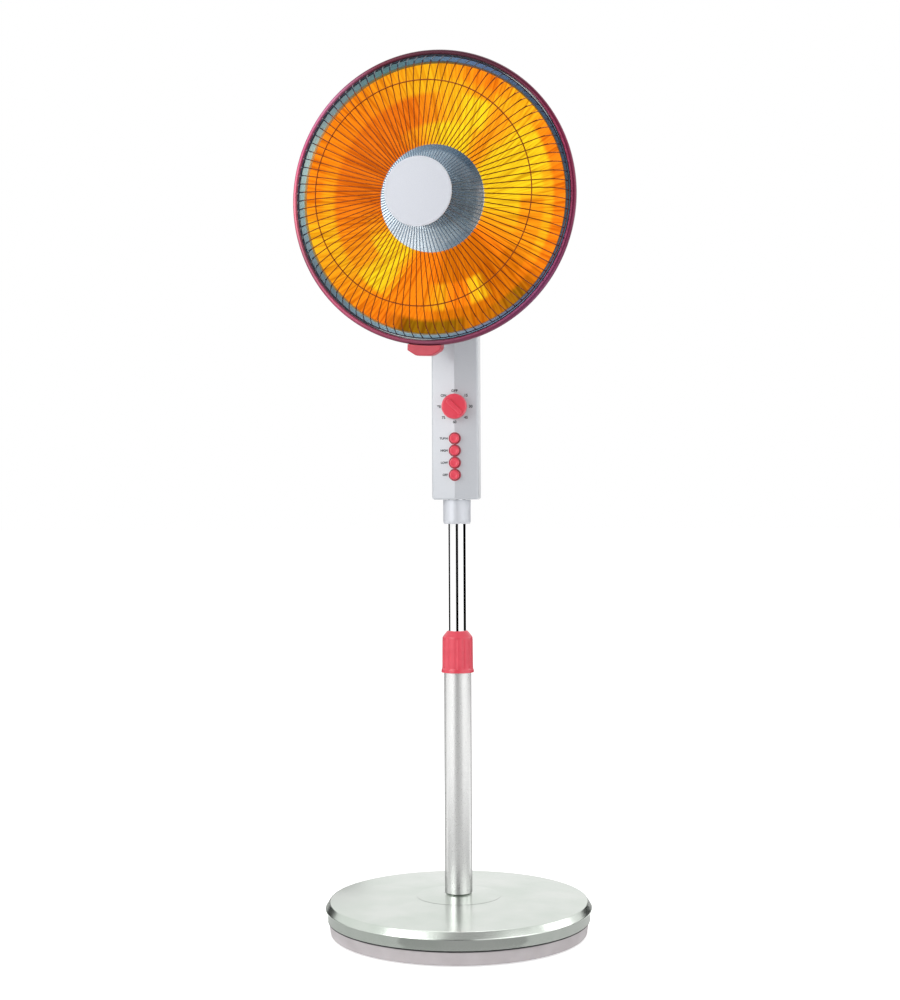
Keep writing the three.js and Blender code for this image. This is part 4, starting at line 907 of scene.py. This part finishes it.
# ---- Base and post -----------------------------------------------------------
class HEATER_OT_base(bpy.types.Operator):
    """Round base: tray, seam ring, polished cover, flange under the post, pads"""
    bl_idname = "heater.base"
    bl_label = "Base"

    def execute(self, context):
        bottom, seam = low("base_tray").z, high("base_tray").z
        skirt, top = low("base_cover").z, high("base_cover").z
        rim = high("base_cover").x
        bore, wall = 15, 3
        tray = turned([(bore, bottom), (rim - 6.9, bottom, 2.2), (rim - 4.7, seam, 0.8),
                       (rim - 7.6, seam), (rim - 9.9, bottom + wall), (bore, bottom + wall)])
        dress("base_tray_shell", tray, tray_plastic, "stand", "tray_plastic", "base_tray")
        gap = 0.3
        gasket = turned([(rim - 9.2, seam + gap), (rim - 3.2, seam + gap, 0.4),
                         (rim - 3.2, skirt - gap, 0.4), (rim - 9.2, skirt - gap)])
        dress("base_seam_gasket", gasket, dark_plastic, "stand", "black_plastic", "base_seam_ring")
        sheet = 1.4
        cover = turned([(rim - 2.4, skirt, 0.3), (rim - 2.4, skirt + 5, 2), (rim, skirt + 14, 1.2),
                        (rim - 6, skirt + 23.2, 1), (70, top, 25), (BOLT_BORE, top),
                        (BOLT_BORE, top - sheet), (70, top - sheet),
                        (rim - 6 - sheet, skirt + 23.2 - sheet), (rim - 2, skirt + 14),
                        (rim - 2.4 - sheet, skirt + 5), (rim - 2.4 - sheet, skirt)], RIM_FACETS)
        dress("base_cover_sheet", cover, polished_steel, "stand", "polished_steel", "base_cover")
        foot, neck = low("post_flange").z, high("post_flange").z
        flange = turned([(BOLT_BORE, foot - 0.2), (56, foot - 0.2), (52, foot + 0.1, 2),
                         (24, foot + 2, 6), (19.5, foot + 2.4, 1.5), (15, foot + 4.2, 1.5),
                         (15, neck, 0.5), (BOLT_BORE, neck)])
        dress("post_flange_turned", flange, polished_steel, "stand", "polished_steel", "post_flange")
        thick = 1.7
        for _, node, place in four("foot_pad"):
            pad = turned([(0, 0), (10.4, 0, 0.4), (11, thick, 0.5), (0, thick)], FITTING_FACETS)
            dress(f"{node}_moulded", pad, rubber, "stand", "rubber_foot", node,
                  matrix=at(place.x, place.y, 0))
        hub = turned([(0, 0), (29, 0, 0.5), (30, thick, 0.5), (0, thick)], TUBE_FACETS)
        dress("hub_cover_moulded", hub, dark_plastic, "stand", "black_plastic", "hub_cover")
        return {"FINISHED"}


class HEATER_OT_post(bpy.types.Operator):
    """Outer tube, bright inner tube and the socket under the housing"""
    bl_idname = "heater.post"
    bl_label = "Post"

    def execute(self, context):
        # The paint reaches down into the flange's neck, so that no dark gap shows at its foot.
        bottom, top = low("post_flange").z + 4, high("outer_tube").z
        radius, wall = high("outer_tube").x, 1.2
        outer = turned([(radius - wall, bottom), (radius, bottom, 0.5), (radius, top, 0.3),
                        (radius - wall, top)], TUBE_FACETS)
        dress("outer_tube_painted", outer, pearl_paint, "stand", "pale_paint", "outer_tube")
        bottom, top = low("inner_tube").z, high("inner_tube").z
        bright = high("inner_tube").x
        inner = turned([(bright - 1, bottom), (bright, bottom, 0.3), (bright, top, 0.3),
                        (bright - 1, top)], TUBE_FACETS)
        dress("inner_tube_chromed", inner, chrome, "mast", "chrome_tube", "inner_tube")
        bottom, top = low("post_socket").z, high("post_socket").z
        bore = bright + 0.3
        socket = turned([(bore, bottom + 1), (radius - wall, bottom, 0.8), (radius, bottom + 3, 1.2),
                         (radius, top, 0.3), (bore, top)], TUBE_FACETS)
        dress("post_socket_moulded", socket, socket_plastic, "mast", "pale_paint", "post_socket")
        return {"FINISHED"}


class HEATER_OT_collar(bpy.types.Operator):
    """Clamp collar with its flutes"""
    bl_idname = "heater.collar"
    bl_label = "Clamp collar"

    def execute(self, context):
        bottom, top = low("clamp_collar").z, high("clamp_collar").z
        flute_low, flute_high, flute_depth = bottom + 6, top - 11, 1.0
        inside, slack = 19, 0.1
        flutes = sizes().flutes

        def flute(angle, radius, height):
            if radius < inside or not flute_low - slack <= height <= flute_high + slack:
                return 0.0
            return -flute_depth * max(0.0, math.cos(flutes / 2 * angle)) ** 2

        collar = turned([(18.75, bottom), (21.75, bottom, 0.5), (21.4, bottom + 3.5, 0.8),
                         (20.6, bottom + 5.5), (20.6, flute_low), (20.5, flute_low + 1.5),
                         (20.2, flute_high - 1.5), (20.1, flute_high), (20, top - 8, 1.5),
                         (16.5, top - 3.5, 2), (13.6, top, 0.5), (12, top), (12, top - 8),
                         (18.75, bottom + 12)], BOWL_FACETS, flute)
        dress("clamp_collar_moulded", collar, coral_plastic, "collar", "coral_plastic",
              "clamp_collar", sharp=40)
        return {"FINISHED"}


# ---- Control housing ---------------------------------------------------------
def housing_plan(inset, front):
    """The front or the rear half of the housing's plan, as far as the seam."""
    side, back = HOUSING_HALF - inset, HOUSING_BACK - inset
    cheek, ridge = CHEEK - inset, RIDGE - inset
    if front:
        edge = SEAM - SEAM_HALF_GAP
        outline = [(side, edge), (-side, edge), (-side, -cheek, 3.2), (0, -ridge, 0.5),
                   (side, -cheek, 3.2)]
    else:
        edge = SEAM + SEAM_HALF_GAP
        outline = [(-side, edge), (side, edge), (side, back, 8), (-side, back, 8)]
    return eased(outline, 6)


def housing_shell(front):
    """A hollow half of the housing, with softened ends and rounded corners."""
    wall, corner, reach = 2.2, 5.0, 100
    outer = upright(housing_plan(0, front), HOUSING_LOW, HOUSING_HIGH, soften=2.6, segments=4)
    face = eased([(-HOUSING_HALF, HOUSING_LOW, corner), (HOUSING_HALF, HOUSING_LOW, corner),
                  (HOUSING_HALF, HOUSING_HIGH, corner), (-HOUSING_HALF, HOUSING_HIGH, corner)], 8)
    outer = carved(outer, moved(upright(face, -reach, reach), rotation(90, "X")),
                   operation="INTERSECT")
    past_seam = 3.0 if front else -3.0
    inner_plan = [(p.x, p.y + (past_seam if abs(p.y - SEAM) < 1 else 0))
                  for p in housing_plan(wall, front)]
    return carved(outer, upright(inner_plan, HOUSING_LOW + wall, HOUSING_HIGH - wall))


class HEATER_OT_housing(bpy.types.Operator):
    """Control housing: two shells, their screws and the cord gland"""
    bl_idname = "heater.housing"
    bl_label = "Control housing"

    def execute(self, context):
        outside, inside, recess = -20, 12, 6.2
        holes = [moved(rod(6.7, outside, inside, BORE_FACETS), along_front(0, -RIDGE, place.z))
                 for _, _, place in four("button")]
        holes.append(moved(rod(3.5, outside, inside, PIN_FACETS),
                           along_front(0, -RIDGE, KNOB_HEIGHT)))
        ends = [moved(rod(11.8, -3, 6, FITTING_FACETS), at(0, 0, HOUSING_LOW)),
                moved(rod(11.3, -6, 3, FITTING_FACETS), at(0, 0, HOUSING_HIGH))]
        front = carved(housing_shell(True), *holes, *[mesh.copy() for mesh in ends])
        dress("housing_front_moulded", front, housing_plastic, "mast", "housing_plastic",
              "housing_front")
        gland = middle("cord_gland").z
        holes = [moved(rod(6.8, -20, 20, BORE_FACETS), along_front(0, HOUSING_BACK, gland))]
        for _, node, place in four("housing_screw"):
            holes.append(moved(rod(3.9, outside, recess, SCREW_FACETS),
                               along_front(place.x, HOUSING_BACK, place.z)))
            shank = rod(1.7, 0, -14, SHANK_FACETS)
            cap = turned([(0, -0.2), (3.6, -0.2, 0.3), (3.6, 1.4, 0.8), (2.2, 2.2, 0.4), (0, 2.2)],
                         SCREW_FACETS)
            cross = [upright([(-a, -b), (a, -b), (a, b), (-a, b)], 1.2, 4)
                     for a, b in ((2.2, 0.4), (0.4, 2.2))]
            dress(f"{node}_driven", joined(shank, carved(cap, *cross)), plain_steel, "mast",
                  "plain_steel", node, matrix=along_back(place.x, HOUSING_BACK - recess, place.z))
        rear = carved(housing_shell(False), *holes, *ends)
        dress("housing_rear_moulded", rear, housing_plastic, "mast", "housing_plastic",
              "housing_rear")
        sleeve = turned([(3.6, 0), (6.5, 0), (6.5, 6), (9, 6, 0.6), (9, 8.5, 0.8), (6.6, 8.5, 0.6),
                         (5.0, 30, 0.5), (3.6, 30)], FITTING_FACETS)
        dress("cord_gland_moulded", sleeve, dark_plastic, "mast", "black_plastic", "cord_gland",
              matrix=along_back(0, low("cord_gland").y, gland))
        return {"FINISHED"}


class HEATER_OT_controls(bpy.types.Operator):
    """Timer knob, push buttons and the sleeves round them"""
    bl_idname = "heater.controls"
    bl_label = "Controls"

    def execute(self, context):
        thick, knurls, knurl_depth, knurled_from = 13, 60, 0.12, 15.9

        def knurl(angle, radius, height):
            return knurl_depth * math.cos(knurls * angle) if radius > knurled_from else 0.0

        disc = turned([(0, 0), (16.7, 0, 0.4), (16.4, 8.2, 1.2), (14.8, 9.2, 0.6), (0, 9.6)],
                      2 * knurls, knurl)
        half, reach = 3.2, 14.4
        plan = eased([(-half, -reach + 2, 1.5), (0, -reach, 1.5), (half, -reach + 2, 1.5),
                      (half, reach - 3, 2.5), (-half, reach - 3, 2.5)])
        grip = upright(plan, 8.5, thick, soften=1.1)
        knob = carved(disc, moved(grip, rotation(45, "Z")), rod(3, 1, -14, PIN_FACETS),
                      operation="UNION")
        dress("timer_knob_moulded", knob, coral_plastic, "timer_knob", "coral_plastic",
              "timer_knob", sharp=38,
              matrix=along_front(0, low("timer_knob").y + thick, KNOB_HEIGHT))
        for number, node, place in four("button"):
            cap = turned([(0, -14.5), (6.4, -14.5), (6.4, -1.4, 0.6), (5.6, 0, 1.0),
                          (3.8, -0.1, 0.5), (2.6, -0.5, 0.8), (0, -0.6)], BUTTON_FACETS)
            dress(f"{node}_moulded", cap, coral_plastic, node, "coral_plastic", node,
                  matrix=along_front(0, low(node).y + 0.5, place.z))
            rim = turned([(6.8, 0), (8.1, 0), (8.1, 7.0, 0.4), (7.5, 7.5, 0.3), (6.8, 7.2, 0.2)],
                         BUTTON_FACETS)
            dress(f"button_rim_{number}", rim, rim_plastic, "mast", "coral_plastic",
                  matrix=along_front(0, 7.1 - RIDGE, place.z))
        return {"FINISHED"}


class HEATER_OT_print(bpy.types.Operator):
    """Figures round the knob and short words beside the buttons, printed on the housing"""
    bl_idname = "heater.print"
    bl_label = "Printing"

    def execute(self, context):
        figure, word = sizes().figure_height, sizes().word_height
        marks = []
        for i, text in enumerate(("OFF", "15", "30", "45", "60", "75", "90", "ON")):
            angle = i * math.pi / 4
            across, up = 21.0 * math.sin(angle), 20.6 * math.cos(angle)
            marks.append((text, across, KNOB_HEIGHT + up, figure, "CENTER"))
        for text, (_, _, place) in zip(("OFF", "LOW", "HIGH", "TURN"), four("button")):
            marks.append((text, -9.4, place.z, word, "RIGHT"))
        line_height, thick, bolder, lift = 1.35, 0.04, 0.15, 0.07
        meshes = []
        for text, x, z, height, align in marks:
            curve = bpy.data.curves.new("mark", "FONT")
            curve.body = text
            curve.size = height * line_height
            curve.align_x = align
            curve.align_y = "CENTER"
            curve.extrude = thick * MM
            curve.offset = bolder * MM
            piece = placed("mark", curve)
            bpy.context.view_layer.update()
            mesh = baked(piece)
            for vertex in mesh.vertices:
                across, up, out = vertex.co
                far = x * MM + across
                facet = abs(far) * FACET_SLOPE - RIDGE * MM
                vertex.co = (far, facet - lift * MM - out, z * MM + up)
            meshes.append(mesh)
        dress("housing_print", joined(*meshes), printing_ink, "mast", "black_plastic")
        return {"FINISHED"}


# ---- Neck --------------------------------------------------------------------
class HEATER_OT_neck(bpy.types.Operator):
    """Yoke on the housing, with its tilt bolt and nut"""
    bl_idname = "heater.neck"
    bl_label = "Neck"

    def execute(self, context):
        bottom = low("neck_yoke").z
        plate = turned([(6.3, 0.1), (21, 0, 0.8), (22, 3, 1.5), (21, 8, 1.2), (6.3, 8)],
                       TUBE_FACETS)
        reach = PIVOT_HEIGHT - bottom + 12
        ears = []
        plan = eased([(-12, 4, 0.5), (12, 4, 0.5), (12, reach, 11.5), (-12, reach, 11.5)], 8)
        for side in (-17, 17):
            ear = upright(plan, -2.5, 2.5, soften=0.8)
            ears.append(moved(ear, at(side, 0, bottom) @ rotation(90, "Z") @ rotation(90, "X")))
        yoke = carved(moved(plate, at(0, 0, bottom)), *ears, operation="UNION")
        dress("neck_yoke_moulded", yoke, housing_plastic, "neck", "housing_plastic", "neck_yoke",
              matrix=NECK)

        def sideways(x):
            return NECK @ at(x, 0, PIVOT_HEIGHT) @ rotation(90, "Y")

        bolt_head = turned([(0, 0), (6.5, 0, 0.4), (6.5, 2.6, 0.6), (4.5, 4, 0.8), (0, 4)],
                           FITTING_FACETS)
        bolt = joined(bolt_head, rod(3, 0.5, -45.8, SCREW_FACETS))
        dress("tilt_bolt_driven", bolt, plain_steel, "neck", "plain_steel", "tilt_bolt",
              matrix=sideways(19.8))
        hexagon = 6
        nut = turned([(3.3, 0), (6.5, 0, 0.3), (6.5, 5, 0.6), (3.3, 5)], hexagon)
        dress("tilt_nut_turned", nut, plain_steel, "neck", "plain_steel", "tilt_nut",
              matrix=sideways(-24.8))
        return {"FINISHED"}


# ---- Head --------------------------------------------------------------------
def rear_depth(radius):
    """The outside of the rear housing, from the plane of the ring."""
    return -REAR_RIM_DEPTH - REAR_HOLLOW * (1 - (radius / REAR) ** 2)


def dish_depth(radius):
    """The front of the dish, from the plane of the ring."""
    return -DISH_RIM_DEPTH - DISH_HOLLOW * (1 - (radius / DISH) ** 2)


def bowl(depth, start, end, steps):
    """Points along a bowl between two radii."""
    radii = [start + (end - start) * i / steps for i in range(steps + 1)]
    return [(radius, depth(radius)) for radius in radii]


def dress_head(name, mesh, maker, slot, *nodes, sharp=32.0):
    """Dresses a piece that rides on the head and is made in the head's own axes."""
    dress(name, mesh, maker, "head", slot, *nodes, matrix=HEAD, sharp=sharp)


class HEATER_OT_head(bpy.types.Operator):
    """Ring and its seal, rear housing with vents, and the clip under the ring"""
    bl_idname = "heater.head"
    bl_label = "Head"

    def execute(self, context):
        ring = turned([(RING_INNER, -1.5), (RING_INNER, 2.4, 0.5), (RING_INNER + 2, 3.2, 1.0),
                       (RING_OUTER - 1.6, 3.0, 1.2), (RING_OUTER, 0.2, 1.4),
                       (RING_OUTER, -3.8, 1.5), (RING_OUTER - 3.8, -17.4, 1.0),
                       (RING_INNER, -18)], RIM_FACETS)
        dress_head("head_ring_lacquered", ring, raspberry_lacquer, "ring_plastic", "head_ring")
        seal = turned([(FLANGE + 0.4, -0.6), (RING_INNER - 0.2, -0.6), (RING_INNER - 0.2, 1.9, 0.3),
                       (FLANGE + 0.5, 2.1, 0.3)], RIM_FACETS)
        dress_head("ring_seal", seal, seal_rubber, "black_plastic")
        wall, steps, front = 2.0, 26, -7.2
        outside = bowl(rear_depth, 0, REAR, steps)
        inside = bowl(lambda radius: rear_depth(radius) + wall, 0, REAR - wall, steps)
        shell = turned([*outside, (REAR, front, 0.6), (REAR - wall, front, 0.6), *reversed(inside)],
                       BOWL_FACETS)
        slot = upright(eased([(94, -3.5, 3.4), (132, -3.5, 3.4), (132, 3.5, 3.4), (94, 3.5, 3.4)]),
                       -100, -20)
        vents = sizes().vents
        rear = carved(shell, ringed(slot, vents, rear_paint, start=math.pi / vents))
        dress_head("rear_housing_pressed", rear, rear_paint, "rear_paint", "rear_housing")
        self.clip()
        return {"FINISHED"}

    def clip(self):
        """The clip's plan is in the head's plane, below the ring. Its seat follows the ring."""
        inner = RING_OUTER + 0.3
        bar = upright(eased([(-22, 9 - inner), (-22, -inner - 6.5, 1), (-10.5, -inner - 13, 1.5),
                             (10, -inner - 12.5, 5), (22, -inner - 4.5, 4), (22, 9 - inner)]),
                      -14, 3, soften=1.4)
        moved(bar, rotation(-3.6, "Z"))
        seat = turned([(0, -60), (inner - 4, -60), (inner - 4, -18), (inner, -4), (inner, 60),
                       (0, 60)], RIM_FACETS)
        dress_head("chin_clip_moulded", carved(bar, seat), clip_plastic, "coral_plastic",
                   "chin_clip")


class HEATER_OT_dish(bpy.types.Operator):
    """Dish lit by painted glow, its bright edge band with painted light and shade, shield, core and
    coil
    """
    bl_idname = "heater.dish"
    bl_label = "Dish and element"

    def execute(self, context):
        sheet, steps = 1.0, 30
        front = bowl(dish_depth, DISH_HOLE, DISH, steps)
        back = [(radius, depth - sheet) for radius, depth in reversed(front)]
        dress_head("reflector_dish", turned([*front, *back], BOWL_FACETS), glowing_dish,
                   "gold_reflector", "reflector")
        edge = dish_depth(DISH)
        band = turned([(DISH + 0.1, edge + 0.1), (DISH + 1.6, edge + 4.2, 1.2), (FLANGE, -1.2, 0.6),
                       (FLANGE, -2.2), (DISH + 2.6, edge + 3.2, 1.2), (DISH + 0.1, edge - 1.0)],
                      RIM_FACETS)
        dress_head("reflector_edge_band", band, dish_edge, "gold_reflector")
        bore, flat = 2.3, 42
        shield = turned([(bore, 4), (flat, 4, 6), (SHIELD, -4, 0.4), (SHIELD, -2.8, 0.5),
                         (flat, 5.2, 6), (bore, 5.2)], SPUN_FACETS)
        dress_head("core_shield_spun", shield, shield_steel, "shield_steel", "core_shield")
        core = turned([(0, -62), (12, -62, 0.6), (12, 3.7), (bore, 3.7), (bore, -12.3), (0, -12.3)],
                      BUTTON_FACETS)
        dress_head("element_core_fired", core, ceramic, "ceramic", "element_core")
        turns, steps, pitch, radius, start = 4, 48, 12.0, 15.0, -56.0
        helix = []
        for i in range(turns * steps + 1):
            angle = 2 * math.pi * i / steps
            height = start + pitch * i / steps
            helix.append((radius * math.cos(angle), radius * math.sin(angle), height))
        coil = ringed(polyline(helix), 1, hot_wire, wire_radius=1.5 * MM)
        dress_head("heating_coil_wound", coil, hot_wire, "heating_wire", "heating_coil", sharp=60)
        return {"FINISHED"}


class HEATER_OT_grille(bpy.types.Operator):
    """Radial wires, ring wires and the cap"""
    bl_idname = "heater.grille"
    bl_label = "Grille"

    def execute(self, context):
        bends = eased([(40.3, HUB_RISE), (139, 46.0, 30.0), (166, 32.5, 12.0), (176.1, 11.0, 8.0),
                       (176.8, 3.2)])
        path = polyline([(bend.x, 0, bend.y) for bend in bends])
        wires = ringed(path, sizes().wires, grille_wire, sizes().wire_radius)
        thick, sides = sizes().band_radius / MM, 8
        angles = [2 * math.pi * k / sides for k in range(sides)]
        hoops = [turned([(radius + thick * math.cos(angle), height + thick * math.sin(angle))
                         for angle in angles], BOWL_FACETS)
                 for radius, height in ((139, 44.8), (176.7, 3.4), (41.5, HUB_RISE - 1.2))]
        dress_head("front_grille_welded", joined(wires, *hoops), grille_wire, "chrome_wire",
                   "front_grille", sharp=60)
        back = HUB_RISE + 1.2
        cap = turned([(0, back), (CAP - 0.4, back, 0.3), (CAP, back + 2.6, 1.0),
                      (CAP - 3, back + 3.8, 1.0), (CAP - 4, back + 3.6, 0.5),
                      (CAP * 0.5, back + 6.2, 8), (0, back + 6.9)], SPUN_FACETS)
        dress_head("grille_cap_pressed", cap, cap_lacquer, "cap_plastic", "grille_cap")
        return {"FINISHED"}


# ---- Inner pieces: their solids are kept, with a finish ----------------------
INSIDES = {
    cast_iron: ("base_ballast", "tube_plug"),
    plain_steel: ("post_bolt", "post_nut", "turn_motor", "turn_lever", "neck_shaft", "cap_plate",
                  "shield_screw"),
    nylon: ("clamp_bush", "guide_bush", "timer_unit", "terminal_block", "turn_crank",
            "neck_bearing"),
    dark_plastic: ("switch_block", "tip_switch", "thermal_cutout"),
    ceramic: ("element_holder",),
    housing_plastic: ("tilt_lug",),
}


class HEATER_OT_insides(bpy.types.Operator):
    """Finishes of the pieces inside the heater"""
    bl_idname = "heater.insides"
    bl_label = "Insides"

    def execute(self, context):
        for maker, nodes in INSIDES.items():
            for node in nodes:
                slots = frame["nodes"][node].material_slots
                if not slots:
                    frame["nodes"][node].data.materials.append(finish(maker))
                for slot in slots:
                    slot.material = finish(maker)
        return {"FINISHED"}


# ---- Stage, in metres --------------------------------------------------------
CAMERA_DISTANCE = 2.232
CAMERA_HEIGHT = 0.575
CAMERA_DEGREES = 6.0
CAMERA_LENS = 60.4
CAMERA_LEFT = 0.0092
CAMERA_ROLL_DEGREES = -0.27
SENSOR_WIDTH = 36.0
CLIP_END = 100.0
FLOOR_WIDTH = 60.0
FLOOR_HEIGHT = -0.0002
CARD_HEIGHT = 0.002
FLOOR_GREY = 0.92
FLOOR_GLOW = 0.65
WORLD_LIGHT = 0.5
WHITE = (1, 1, 1, 1)


def around(degrees, distance, height):
    """A place round the post: azimuth 0 is in front, and grows to the viewer's right."""
    azimuth = math.radians(degrees)
    return Vector((distance * math.sin(azimuth), -distance * math.cos(azimuth), height))


def facing(centre, toward, width, height):
    """The corners of a panel that faces a point."""
    turn = (Vector(toward) - Vector(centre)).to_track_quat("Z", "Y").to_matrix().to_4x4()
    return [Matrix.Translation(centre) @ turn @ Vector((x * width / 2, y * height / 2, 0))
            for x, y in ((-1, -1), (1, -1), (1, 1), (-1, 1))]


def standing(degrees, distance, width, bottom, top):
    """The corners of a panel that stands round the post and faces it."""
    centre = (bottom + top) / 2
    return facing(around(degrees, distance, centre), (0, 0, centre), width, top - bottom)


def sector(degrees, half_width, near, far, steps=4):
    """The corners of a panel on the floor to one side of the post, as wide as the degrees say."""
    turns = [degrees + half_width * i / steps for i in range(-steps, steps + 1)]
    return [*(around(turn, near, CARD_HEIGHT) for turn in turns),
            *(around(turn, far, CARD_HEIGHT) for turn in reversed(turns))]


# Cards that only bright surfaces mirror: (name, grey, corners).
CARDS = (("front", 0.0, standing(3, 3.4, 1.9, 0.03, 2.5)),
         ("front_floor", 0.63, sector(8, 33, 0.3, 4.0)),
         ("lip_floor", 0.4, sector(8, 33, 0.18, 0.3)),
         ("left_floor", 0.6, sector(-61.5, 36.5, 0.18, 0.9)),
         ("right_floor", 0.6, sector(76.5, 35.5, 0.18, 0.9)),
         ("back_left", 0.0, standing(-136, 3.2, 4.0, 0.03, 0.68)),
         ("back_right", 0.0, standing(132, 3.2, 4.7, 0.03, 0.68)),
         ("back_left_floor", 0.5, sector(-140, 28, 0.3, 3.2)),
         ("back_right_floor", 0.5, sector(156, 20, 0.3, 3.2)),
         ("ceiling", 0.38, facing((1.0, -1.35, 2.2), (0.05, -0.16, 0.04), 3.4, 0.8)))
# Lamps: (name, watts, size, place, height that it aims at).
LAMPS = (("key", 30.0, 1.8, around(-42, 2.6, 1.5), 0.7),
         ("fill", 15.0, 2.2, around(58, 3.0, 1.5), 0.6),
         ("side", 7.0, 1.2, around(105, 2.6, 1.25), 0.75),
         ("top", 14.0, 2.0, Vector((0, 0.4, 3.0)), 0.3))


def flat_panel(name, corners, material):
    mesh = bpy.data.meshes.new(name)
    mesh.from_pydata(corners, [], [range(len(corners))])
    mesh.materials.append(material)
    panel = placed(name, mesh)
    return panel


def area_lamp(name, watts, size, place, target_height):
    data = bpy.data.lights.new(name, "AREA")
    data.energy = watts
    data.size = size
    aim = (Vector((0, 0, target_height)) - place).to_track_quat("-Z", "Y").to_matrix().to_4x4()
    placed(name, data).matrix_world = Matrix.Translation(place) @ aim


def card_material(name, grey):
    """A card that shines with one grey and nothing else."""
    return new_material(name, "#000000", 0.5, Specular_IOR_Level=0.0, Emission_Color=WHITE,
                        Emission_Strength=grey)[0]


class HEATER_OT_camera(bpy.types.Operator):
    """Camera at the photograph's viewing angle"""
    bl_idname = "heater.camera"
    bl_label = "Camera"

    def execute(self, context):
        data = bpy.data.cameras.new("photo_camera")
        data.lens = CAMERA_LENS
        data.sensor_width = SENSOR_WIDTH
        data.clip_end = CLIP_END
        level = rotation(CAMERA_DEGREES, "Z")
        place = around(CAMERA_DEGREES, CAMERA_DISTANCE, CAMERA_HEIGHT)
        place -= level @ Vector((CAMERA_LEFT, 0, 0))
        camera = placed("photo_camera", data)
        camera.matrix_world = (Matrix.Translation(place) @ level @ rotation(90, "X")
                               @ rotation(CAMERA_ROLL_DEGREES, "Z"))
        context.scene.camera = camera
        return {"FINISHED"}


class HEATER_OT_stage(bpy.types.Operator):
    """Floor, world, lamps and the dark cards that bright metal mirrors"""
    bl_idname = "heater.stage"
    bl_label = "Stage"

    def execute(self, context):
        context.scene.view_settings.view_transform = "Standard"
        context.scene.world = self.world()
        corners = facing((0, 0, FLOOR_HEIGHT), (0, 0, 1), FLOOR_WIDTH, FLOOR_WIDTH)
        floor = flat_panel("floor", corners, self.floor_material())
        floor.visible_shadow = False
        for name, grey, corners in CARDS:
            card = flat_panel(f"{name}_card", corners, card_material(f"{name}_card", grey))
            card.visible_camera = False
            card.visible_diffuse = False
            card.visible_shadow = False
            card.visible_transmission = False
        for lamp in LAMPS:
            area_lamp(*lamp)
        return {"FINISHED"}

    def world(self):
        """White for camera, glossy and transmission rays, a plain light for the rest."""
        world = bpy.data.worlds.new("studio")
        world.use_nodes = True
        tree = world.node_tree
        tree.nodes.clear()
        path = add(tree, "ShaderNodeLightPath").outputs
        seen = maths(tree, "MAXIMUM", path["Is Camera Ray"], path["Is Glossy Ray"])
        seen = maths(tree, "MAXIMUM", seen, path["Is Transmission Ray"])
        plain, white = (add(tree, "ShaderNodeBackground", {"Color": WHITE, "Strength": strength})
                        for strength in (WORLD_LIGHT, 1.0))
        mix = add(tree, "ShaderNodeMixShader", {0: seen, 1: plain.outputs[0], 2: white.outputs[0]})
        add(tree, "ShaderNodeOutputWorld", {"Surface": mix.outputs[0]})
        return world

    def floor_material(self):
        """A matt pale floor that keeps the shadow and shows near white to the camera."""
        material, tree, shader = new_material("pale_floor", (FLOOR_GREY,) * 3, 1.0,
                                              Specular_IOR_Level=0.0, Emission_Color=WHITE)
        path = add(tree, "ShaderNodeLightPath").outputs
        seen = maths(tree, "MAXIMUM", path["Is Camera Ray"], path["Is Glossy Ray"])
        feed(shader, Emission_Strength=maths(tree, "MULTIPLY", seen, FLOOR_GLOW))
        return material


class HEATER_PT_panel(bpy.types.Panel):
    """Lists the heater's sizes, colours and pieces"""
    bl_idname = "HEATER_PT_panel"
    bl_label = "Bowl heater"
    bl_space_type = "VIEW_3D"
    bl_region_type = "UI"
    bl_category = "Heater"

    def draw(self, context):
        layout = self.layout
        for group in (context.scene.heater_sizes, context.scene.heater_colours):
            for name in group.__annotations__:
                layout.prop(group, name)
        for operator in OPERATORS:
            layout.operator(operator.bl_idname)


OPERATORS = (HEATER_OT_camera, HEATER_OT_base, HEATER_OT_post, HEATER_OT_collar, HEATER_OT_housing,
             HEATER_OT_controls, HEATER_OT_print, HEATER_OT_neck, HEATER_OT_head, HEATER_OT_dish,
             HEATER_OT_grille, HEATER_OT_insides, HEATER_OT_stage)
CLASSES = (HeaterSizes, HeaterColours, *OPERATORS, HEATER_PT_panel)


def register():
    for cls in CLASSES:
        bpy.utils.register_class(cls)
    bpy.types.Scene.heater_sizes = PointerProperty(type=HeaterSizes)
    bpy.types.Scene.heater_colours = PointerProperty(type=HeaterColours)


def unregister():
    del bpy.types.Scene.heater_colours
    del bpy.types.Scene.heater_sizes
    for cls in reversed(CLASSES):
        bpy.utils.unregister_class(cls)


def main():
    register()
    for operator in OPERATORS:
        group, name = operator.bl_idname.split(".")
        getattr(getattr(bpy.ops, group), name)()


if __name__ == "__main__":
    main()
